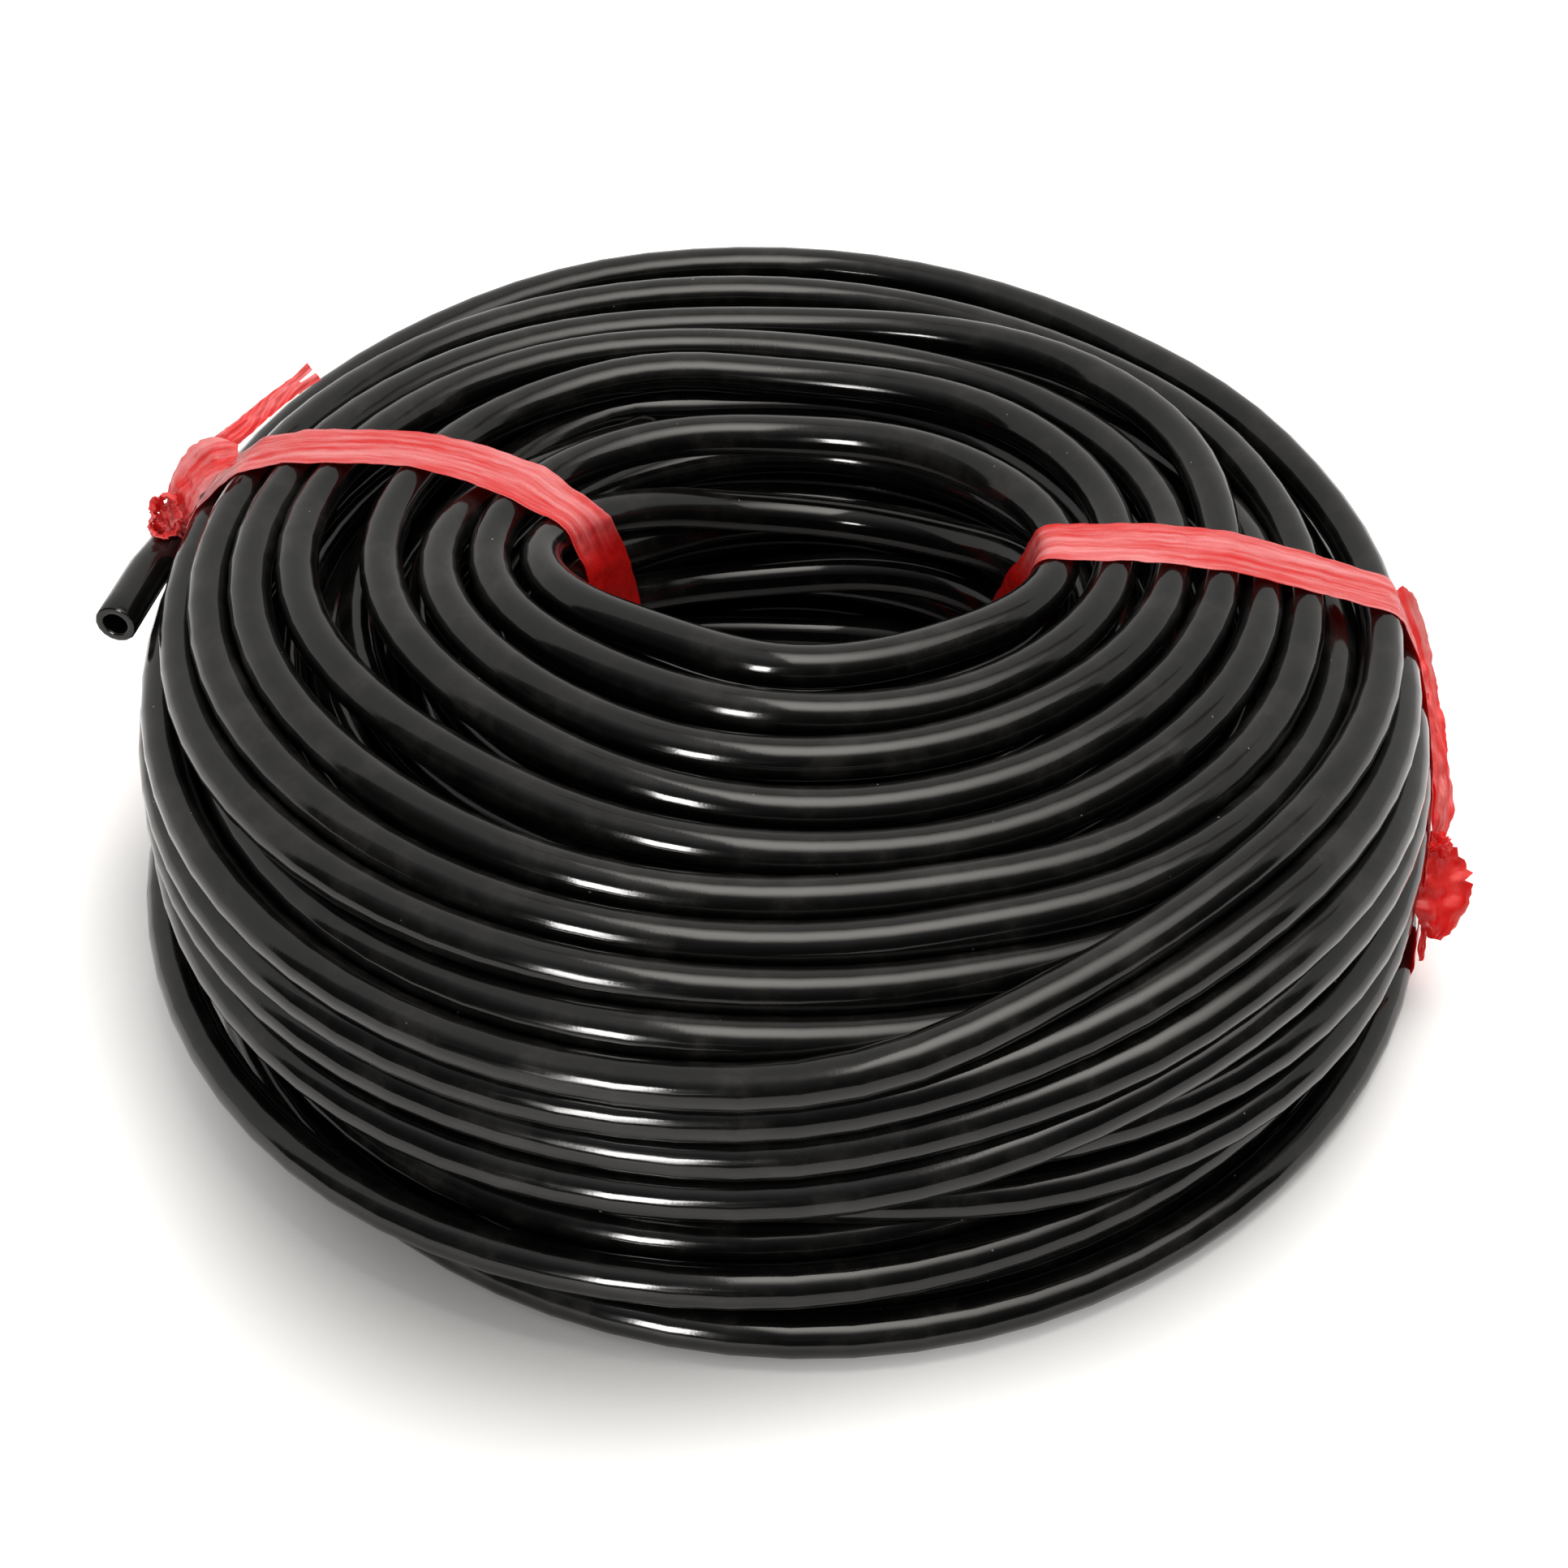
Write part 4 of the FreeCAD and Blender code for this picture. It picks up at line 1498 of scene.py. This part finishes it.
@dataclass(frozen=True)
class Knot:
    """A tight crumpled knot of film.

    Attributes:
        name: the piece's name.
        middle: its middle about the coil's axis, in millimetres.
        size: its radius along each axis.
        layers: how many layers of film lie there.
        seed: picks the knot's own folds.
    """

    name: str
    middle: Place
    size: Place
    layers: Layers = Layers.FOLDED
    seed: int = 2

    def reach(self, aim: Vector) -> float:
        """Works out how far the knot's folds reach.

        Args:
            aim: a direction from its middle.

        Returns:
            The reach there, as a share of its size.
        """
        warp = noise.noise_vector(aim * 1.3 + Vector((self.seed, 0, 0)))
        fold = 1 - abs(noise.noise(aim * 1.9 + warp * 0.9 + Vector((0, self.seed, 0)))) * 2.6
        crease = 1 - abs(noise.noise(aim * 4.5 + warp)) * 2.0
        return 0.72 + 0.34 * fold + 0.12 * crease

    def build(self) -> bpy.types.Object:
        """Presses folds into a ball.

        Returns:
            The knot.
        """
        deselect()

        # Without a seed of its own the warp of the folds would change from run to run
        noise.seed_set(self.seed)
        place = np.array(self.middle) * MM + np.array([*AXIS, 0.0])
        bpy.ops.mesh.primitive_ico_sphere_add(subdivisions=5, radius=MM, location=(0, 0, 0))
        piece = bpy.context.object
        piece.name = self.name
        piece.data.name = self.name
        lay = []
        for vertex in piece.data.vertices:
            aim = vertex.co.normalized()
            reach = self.reach(aim)
            vertex.co = Vector([aim[k] * reach * self.size[k] * MM + place[k] for k in range(3)])
            lay.append((aim.x * MM * 3, aim.y * MM * 3, aim.z * MM))
        write_lay(piece, np.array(lay))
        bpy.ops.object.shade_smooth_by_angle(angle=math.radians(70))
        return piece


@dataclass
class FilmTie:
    """One tie: a taut band round the winding, a knot and loose ends.

    Attributes:
        name: the tie's name, which its pieces' names begin with, and its CAD node's.
        widths: directions round the section in degrees, each with the band's width there.
        knot: its knot.
        lean: directions round the section, each with the band's azimuth there.
        loose: its loose ends.
        loops: the loops on its knot.
        seed: picks the band's own pleats and crumples.
        step: millimetres between the band's rows.
    """

    name: str
    widths: tuple[Spot, ...]
    knot: Knot
    lean: tuple[Spot, ...]
    loose: tuple[LooseEnd, ...]
    loops: tuple[FilmLoop, ...]
    seed: int
    step: float = 0.8

    @staticmethod
    def round_section(pairs: tuple[Spot, ...], direction: np.ndarray) -> np.ndarray:
        """Reads chosen values smoothly round the section.

        Args:
            pairs: chosen directions in degrees, each with its value.
            direction: the directions to read at.

        Returns:
            The value at each of these.
        """
        turns, values = (np.array(row, float) for row in zip(*pairs))
        turns = np.concatenate([turns - 360, turns, turns + 360])
        near = direction[:, None] + np.linspace(-7, 7, 9)[None]
        return np.interp(near, turns, np.tile(values, 3)).mean(axis=1)

    def band(self, line: np.ndarray) -> FilmStrip:
        """Lays the band as a closed strip over the turns it holds.

        Args:
            line: points close together along the tube's centreline.

        Returns:
            The band, not built yet, with its seam under the coil.
        """
        directions = np.arange(-90, 270, 1.0)
        azimuths = self.round_section(self.lean, directions)
        widths = self.round_section(self.widths, directions)
        section = Section(line, math.floor(azimuths.min() / 2) * 2 - 10, azimuths.max() + 10)
        middle = np.array(section.middle)
        aim = np.radians(directions)
        spots = middle + 40 * np.stack([np.cos(aim), np.sin(aim)], axis=1)
        places = section.press(place_on_coil(90 - azimuths, spots) / MM, np.zeros(len(spots)))
        middles = place_on_coil(90 - azimuths, np.tile(middle, (len(spots), 1))) / MM
        rows = self.even(np.hstack([places, middles, widths[:, None]]))
        return FilmStrip(self.name + "_band", rows[:, :3], rows[:, :3] - rows[:, 3:6], rows[:, 6],
                         closed=True, seed=self.seed, section=section)

    def even(self, rows: np.ndarray) -> np.ndarray:
        """Spaces a closed row of places evenly.

        Args:
            rows: a place for each, in its first three columns, and what goes with it.

        Returns:
            The same in even steps.
        """
        ring = np.vstack([rows, rows[:1]])
        along = distances(ring[:, :3])
        count = int(along[-1] / self.step)
        return read_at(np.arange(count) / count * along[-1], along, ring)

    def build(self, line: np.ndarray, finishes: dict[Layers, bpy.types.Material]) -> None:
        """Builds and dresses the band, the knot and what hangs from it.

        Args:
            line: points close together along the tube's centreline.
            finishes: the film's finish for each number of layers.
        """
        settle_on(self.band(line).build(), Slot.FILM, finishes[Layers.SINGLE], self.name)
        settle_on(self.knot.build(), Slot.FILM, finishes[self.knot.layers])
        for loop in self.loops:
            settle_on(loop.strip().build(), Slot.FILM, finishes[Layers.SINGLE])
        for end in self.loose:
            settle_on(end.strip().build(), Slot.FILM, finishes[end.layers])


def left_tie() -> FilmTie:
    """Describes the left tie.

    Returns:
        A tie with its knot over the tube's end, a loop on it and a tail laid back over the shoulder.
    """
    return FilmTie(
        "left_tie",
        widths=((70, 10.2), (50, 10.2), (41, 9.6), (33, 7.8), (27, 5.8), (16, 6.5), (0, 10.2)),
        knot=Knot("left_tie_knot", (-104.8, 23.8, 57.8), (3.0, 3.2, 4.1), Layers.SINGLE, seed=2),
        lean=(
            (-60, 165), (0, 168), (25, 169), (34, 167.4), (42, 164.8), (57, 162.3), (72, 161.2), (92, 158.9),
            (113, 158.6), (128, 162), (139, 163.8), (150, 160), (165, 156), (200, 155), (270, 159),
        ),
        loose=(
            LooseEnd(
                "left_tie_fold",
                ((-104.0, 24.9, 58.6, 4.8), (-101.8, 25.2, 64.0, 8.6), (-98.8, 25.4, 67.8, 9.8),
                 (-95.8, 25.3, 70.2, 8.0), (-91.8, 25.0, 71.3, 3.4)),
                (-0.4, -0.55, 1.0), pleat=0.4, crumple=0.4, ragged=0.05, seed=7,
            ),
            LooseEnd(
                "left_tie_tail",
                ((-98.8, 26.6, 68.4, 3.4), (-95.2, 28.4, 71.0, 3.6), (-91.0, 32.5, 72.8, 3.2),
                 (-87.1, 36.8, 74.2, 3.0), (-83.4, 40.5, 75.4, 2.9), (-81.2, 42.6, 76.2, 3.4)),
                (0.1, -0.74, 0.67), pleat=0.2, crumple=0.22, ragged=0.12, fork=0.3, seed=9,
            ),
        ),
        loops=(
            FilmLoop(
                "left_tie_loop", middle=(-105.5, 22.4, 60.2), right=(1.0, 0.1, 0.0), up=(0.08, 0.62, 0.78),
                reach=(1.3, 2.5), width=4.2, seed=4,
            ),
        ),
        seed=3,
    )


def right_tie() -> FilmTie:
    """Describes the right tie.

    Returns:
        A tie that slants down the wall to a low knot with a flared flap and a thin end.
    """
    return FilmTie(
        "right_tie",
        widths=((49, 9.6), (38, 7.0), (26, 4.4), (5, 3.4), (-12, 3.0), (-30, 5.0), (-60, 9.6)),
        knot=Knot("right_tie_knot", (105.9, -23.0, 27.0), (2.7, 2.2, 2.6), seed=6),
        lean=(
            (-35, -14), (-12.5, -12.3), (0, -9), (8, -7), (20, -3.5), (32, -1.4), (41, -0.8), (72, -0.8),
            (93, -0.7), (112, -0.2), (127, -2.3), (135, 0.5), (148, 7), (162, 14), (180, 16), (230, 8),
            (270, 0), (310, -10),
        ),
        loose=(
            LooseEnd(
                "right_tie_bunch",
                ((98.4, 2.6, 60.2, 3.0), (100.2, 2.2, 56.6, 6.0), (102.3, 0.8, 51.4, 6.0),
                 (104.5, -3.6, 44.8, 5.4), (106.0, -9.4, 39.0, 4.6), (106.7, -16.2, 33.4, 3.6),
                 (106.4, -22.3, 27.6, 2.4)),
                (0.35, -0.72, 0.6), pleat=0.25, crumple=0.25, ragged=0.08, layers=Layers.THIN, seed=11,
            ),
            LooseEnd(
                "right_tie_flap",
                ((104.9, -23.4, 26.4, 5.6), (105.9, -25.2, 24.0, 10.4), (106.6, -27.6, 20.8, 10.8),
                 (106.6, -29.8, 17.8, 8.6), (105.8, -32.2, 14.8, 2.4)),
                (0.3, -0.75, 0.65), pleat=0.45, crumple=0.45, ragged=0.35, layers=Layers.FOLDED, seed=12,
            ),
            LooseEnd(
                "right_tie_end",
                ((105.4, -25, 25, 2.0), (104.6, -29, 19, 2.0), (104.0, -32, 14.5, 1.6),
                 (103.7, -34, 11.5, 1.0)),
                (0.5, -0.7, 0.5), pleat=0.3, crumple=0.3, ragged=0.2, layers=Layers.FOLDED, seed=14,
            ),
            LooseEnd(
                "right_tie_slack",
                ((104.2, -5.2, 44.6, 2.2), (105.6, -10.6, 39.8, 3.2), (106.6, -15.8, 35.4, 4.4),
                 (106.8, -20.2, 31.0, 4.0), (105.8, -22.8, 27.4, 2.6)),
                (0.5, -0.65, 0.5), pleat=0.3, crumple=0.3, ragged=0.1, layers=Layers.THIN, seed=15,
            ),
        ),
        loops=(),
        seed=8,
    )


# Studio

# Works out a prop's brightness from its node helper and its split coordinates
Glow = Callable[[Nodes, bpy.types.bpy_prop_collection], bpy.types.NodeSocket]


@dataclass(frozen=True)
class Lamp:
    """An area lamp aimed at the coil.

    Attributes:
        name: the lamp's name.
        place: where it stands, in metres.
        size: its width and height, in metres.
        radiance: how bright its face is.
        colour: its light's colour.
        aim: the place that it faces.
        mirrored: whether it shows in the object's gloss.
        lights: whether it lights matt surfaces, as a lamp usually does.
    """

    name: str
    place: Place
    size: Spot
    radiance: float
    colour: Place = (1.0, 1.0, 1.0)
    aim: Place = (0.0, 0.0, 0.03)
    mirrored: bool = True
    lights: bool = True

    def add(self) -> None:
        """Adds the lamp, with the power that gives its face the radiance."""
        data = bpy.data.lights.new(self.name, "AREA")
        data.shape = "RECTANGLE"
        data.size, data.size_y = self.size
        data.color = self.colour
        data.energy = self.radiance * math.pi * self.size[0] * self.size[1]
        lamp = bpy.data.objects.new(self.name, data)
        lamp.location = self.place
        lamp.rotation_euler = turned_to(self.place, self.aim)
        lamp.visible_glossy = self.mirrored
        lamp.visible_diffuse = self.lights
        lamp.visible_transmission = self.lights
        bpy.context.scene.collection.objects.link(lamp)


def turned_to(place: Place, aim: Place) -> Euler:
    """Returns the rotation of a lamp or camera at a place that faces another."""
    return (Vector(aim) - Vector(place)).to_track_quat("-Z", "Y").to_euler()


@dataclass
class Studio:
    """Pale floor, white surroundings, two props that show in gloss alone, lamps and camera.

    Attributes:
        lens: the camera's focal length, in millimetres.
        sensor: the width of its sensor, in millimetres.
        eye: where the camera stands, in metres.
        target: the place that it faces.
        daylight: how strongly the surroundings light the object.
        daylight_colour: the surroundings' colour.
        floor_colour: the floor's own colour.
        floor_glow: the colour that the floor shows to the eye away from the painted shadow.
        shadow_shift: how far the darkest part of the painted shadow lies to the front left.
        shadow_core: distances from there between which the floor turns pale.
        shadow_edge: distances from the coil's middle between which it does so.
        pale: how much it glows past both.
        far_floor: distances from the middle between which the floor blends into the background.
        far_pale: how much it glows more there.
        wall_radius: how far away the dim wall stands.
        wall_height: how high it is.
        wall_front: the wall is left out behind this y, so that it stands in front of the coil alone.
        wall_glow: its brightness at the foot and at the top.
        screen_place: the middle of the screen overhead.
        screen_width: its width for a length of 1 m.
        screen_glow: its brightness along the middle and at its long edges.
        screen_colour: its colour.
        lamps: the lamps.
    """

    lens: float = 58.42
    sensor: float = 36.0
    eye: Place = (-0.000701, -0.3314, 0.3144)
    target: Place = (-0.000701, -0.004401, 0.020)
    daylight: float = 0.37
    daylight_colour: Colour = (1.0, 0.985, 0.965, 1.0)
    floor_colour: Colour = (0.80, 0.79, 0.78, 1.0)
    floor_glow: Colour = (1.0, 0.985, 0.97, 1.0)
    shadow_shift: Place = (0.040, 0.080, 0.0)
    shadow_core: Spot = (0.010, 0.075)
    shadow_edge: Spot = (0.095, 0.135)
    pale: float = 0.62
    far_floor: Spot = (0.7, 1.8)
    far_pale: float = 0.5
    wall_radius: float = 1.3
    wall_height: float = 3.0
    wall_front: float = -0.25
    wall_glow: Spot = (0.03, 0.75)
    screen_place: Place = (0.31, -0.18, 0.80)
    screen_width: float = 0.80
    screen_glow: Spot = (8.0, 0.7)
    screen_colour: Colour = (1.0, 0.96, 0.91, 1.0)
    lamps: tuple[Lamp, ...] = (
        Lamp("window", (-0.24, -0.62, 0.24), (0.10, 0.24), 44.0, (1.0, 0.98, 0.96), lights=False),
        Lamp("key", (0.20, 0.24, 0.85), (0.62, 0.62), 6.2, (1.0, 0.985, 0.965), mirrored=False),
        Lamp("fill", (-0.45, -0.50, 0.12), (0.40, 0.30), 4.0, mirrored=False),
    )

    @staticmethod
    def seen(nodes: Nodes) -> bpy.types.NodeSocket:
        """Tells what is looked at from what gives light.

        Args:
            nodes: the node helper of a material or the world.

        Returns:
            1 where a ray comes from the camera, a mirror or glass, else 0.
        """
        rays = nodes.add("ShaderNodeLightPath")
        seen = nodes.math("MAXIMUM", rays.outputs["Is Camera Ray"], rays.outputs["Is Glossy Ray"])
        return nodes.math("MAXIMUM", seen, rays.outputs["Is Transmission Ray"])

    @staticmethod
    def show_in_gloss(prop: bpy.types.Object, name: str, colour: Colour, glow: Glow) -> None:
        """Lights a prop up and shows it in the tube's gloss alone.

        Args:
            prop: the wall or the screen.
            name: its finish's name.
            colour: the colour of its light.
            glow: works out its brightness.
        """
        material, nodes, body = new_material(name)
        material.node_tree.nodes.remove(body)
        where = nodes.add("ShaderNodeTexCoord").outputs["Object"]
        split = nodes.add("ShaderNodeSeparateXYZ", Vector=where).outputs
        light = nodes.add("ShaderNodeEmission", Color=colour, Strength=glow(nodes, split))
        nodes.feed(material.node_tree.nodes["Material Output"].inputs["Surface"], light.outputs[0])
        prop.data.materials.append(material)
        for kind in ("camera", "diffuse", "transmission", "shadow", "volume_scatter"):
            setattr(prop, "visible_" + kind, False)

    def floor(self) -> None:
        """Adds the floor, which keeps the coil's shadow and has more shadow painted round the coil by leaving
        its glow out there.
        """
        deselect()
        bpy.ops.mesh.primitive_plane_add(size=6.0, location=(0, 0, -0.0002))
        floor = bpy.context.object
        floor.name = "floor"
        material, nodes, body = new_material("floor_white")
        body.inputs["Base Color"].default_value = self.floor_colour
        body.inputs["Roughness"].default_value = 0.6
        body.inputs["Specular IOR Level"].default_value = 0.2
        body.inputs["Emission Color"].default_value = self.floor_glow
        place = nodes.add("ShaderNodeTexCoord").outputs["Object"]
        under = nodes.add("ShaderNodeVectorMath", operation="LENGTH", Vector=place).outputs["Value"]
        shift = nodes.add("ShaderNodeVectorMath", operation="ADD", Vector=place)
        shift.inputs[1].default_value = self.shadow_shift
        core = nodes.add("ShaderNodeVectorMath", operation="LENGTH", Vector=shift.outputs["Vector"])
        # Painted shadow: the glow to the eye is left out round a spot to the front left of the coil and under
        # its rim, which darkens the floor there
        near = nodes.math(
            "MULTIPLY",
            nodes.between(core.outputs["Value"], *self.shadow_core, 0.0, self.pale),
            nodes.between(under, *self.shadow_edge),
        )
        glow = nodes.math("ADD", near, nodes.between(under, *self.far_floor, 0.0, self.far_pale))
        nodes.feed(body.inputs["Emission Strength"], nodes.math("MULTIPLY", self.seen(nodes), glow))
        floor.data.materials.append(material)
        floor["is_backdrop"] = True

    def wall(self) -> None:
        """Adds a dim wall round the front, which only shows in the tube's gloss."""
        deselect()
        bpy.ops.mesh.primitive_cylinder_add(
            vertices=96, radius=self.wall_radius, depth=self.wall_height, end_fill_type="NOTHING",
            location=(0, 0, self.wall_height / 2),
        )
        wall = bpy.context.object
        wall.name = "wall"
        bpy.ops.object.mode_set(mode="EDIT")
        pick(wall, Parts.FACES, lambda face: face.calc_center_median().y > self.wall_front)
        bpy.ops.mesh.delete(type="FACE")
        bpy.ops.object.mode_set(mode="OBJECT")
        self.show_in_gloss(
            wall, "wall_dim", (1.0, 1.0, 1.0, 1.0),
            lambda nodes, split: nodes.between(split["Z"], -1.3, 1.5, *self.wall_glow),
        )
        wall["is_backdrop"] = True

    def screen(self) -> None:
        """Adds a soft-edged bright screen overhead, which only shows in the tube's gloss."""
        deselect()
        bpy.ops.mesh.primitive_plane_add(size=1.0, location=self.screen_place)
        screen = bpy.context.object
        screen.name = "screen"
        screen.scale = (self.screen_width, 1.0, 1.0)

        def glow(nodes: Nodes, split: bpy.types.bpy_prop_collection) -> bpy.types.NodeSocket:
            """Works out the brightness: sharp at the left edge, soft at the right, front and back.

            Args:
                nodes: the material's node helper.
                split: the screen's coordinates.

            Returns:
                The brightness.
            """
            left = nodes.between(split["X"], -0.5, -0.46)
            right = nodes.between(split["X"], -0.5, 0.5, 1.0, 0.35)
            deep = nodes.between(nodes.math("ABSOLUTE", split["Y"]), 0.05, 0.48, *self.screen_glow)
            return nodes.math("MULTIPLY", nodes.math("MULTIPLY", left, right), deep)

        self.show_in_gloss(screen, "screen_soft", self.screen_colour, glow)
        screen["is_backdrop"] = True

    def world(self) -> None:
        """Makes the surroundings white to the eye and soft as light."""
        world = bpy.data.worlds.new("white")
        world.use_nodes = True
        nodes = Nodes(world.node_tree)
        back = world.node_tree.nodes["Background"]
        back.inputs["Color"].default_value = self.daylight_colour
        nodes.feed(back.inputs["Strength"], nodes.between(self.seen(nodes), 0.0, 1.0, self.daylight, 1.0))
        bpy.context.scene.world = world

    def camera(self) -> None:
        """Adds the camera from which the coil is seen."""
        data = bpy.data.cameras.new("camera")
        data.lens = self.lens
        data.sensor_width = self.sensor
        eye = bpy.data.objects.new("camera", data)
        eye.location = self.eye
        eye.rotation_euler = turned_to(self.eye, self.target)
        bpy.context.scene.collection.objects.link(eye)
        bpy.context.scene.camera = eye
        bpy.context.scene.view_settings.view_transform = "Standard"

    def build(self) -> None:
        """Builds the whole studio."""
        self.floor()
        self.wall()
        self.screen()
        self.world()
        for lamp in self.lamps:
            lamp.add()
        self.camera()


# The whole


def note_size(first: tuple[Vector, Vector]) -> None:
    """Works out the shown object's box at the end and rounds it and the box at the start.

    Args:
        first: the corners of the box at the start.
    """
    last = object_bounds()
    rows = [[round(value, 6) for value in corner] for corner in (*first, *last)]


def main() -> None:
    """Builds the studio, the tube and the ties, then dresses them."""
    logging.basicConfig(level=logging.INFO, format="%(message)s")
    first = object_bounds()
    Studio().build()
    dust = dust_group()
    hose = Hose()
    piece, line = hose.build()
    hose.dress(piece, line, TubeFinish().make(dust))
    finishes = film_finishes(dust)
    along = distances(line)
    dense = read_at(np.arange(0.1, along[-1], 1.0 * MM), along, line)
    for tie in (left_tie(), right_tie()):
        tie.build(dense, finishes)
    note_size(first)


if __name__ == "__main__":
    main()
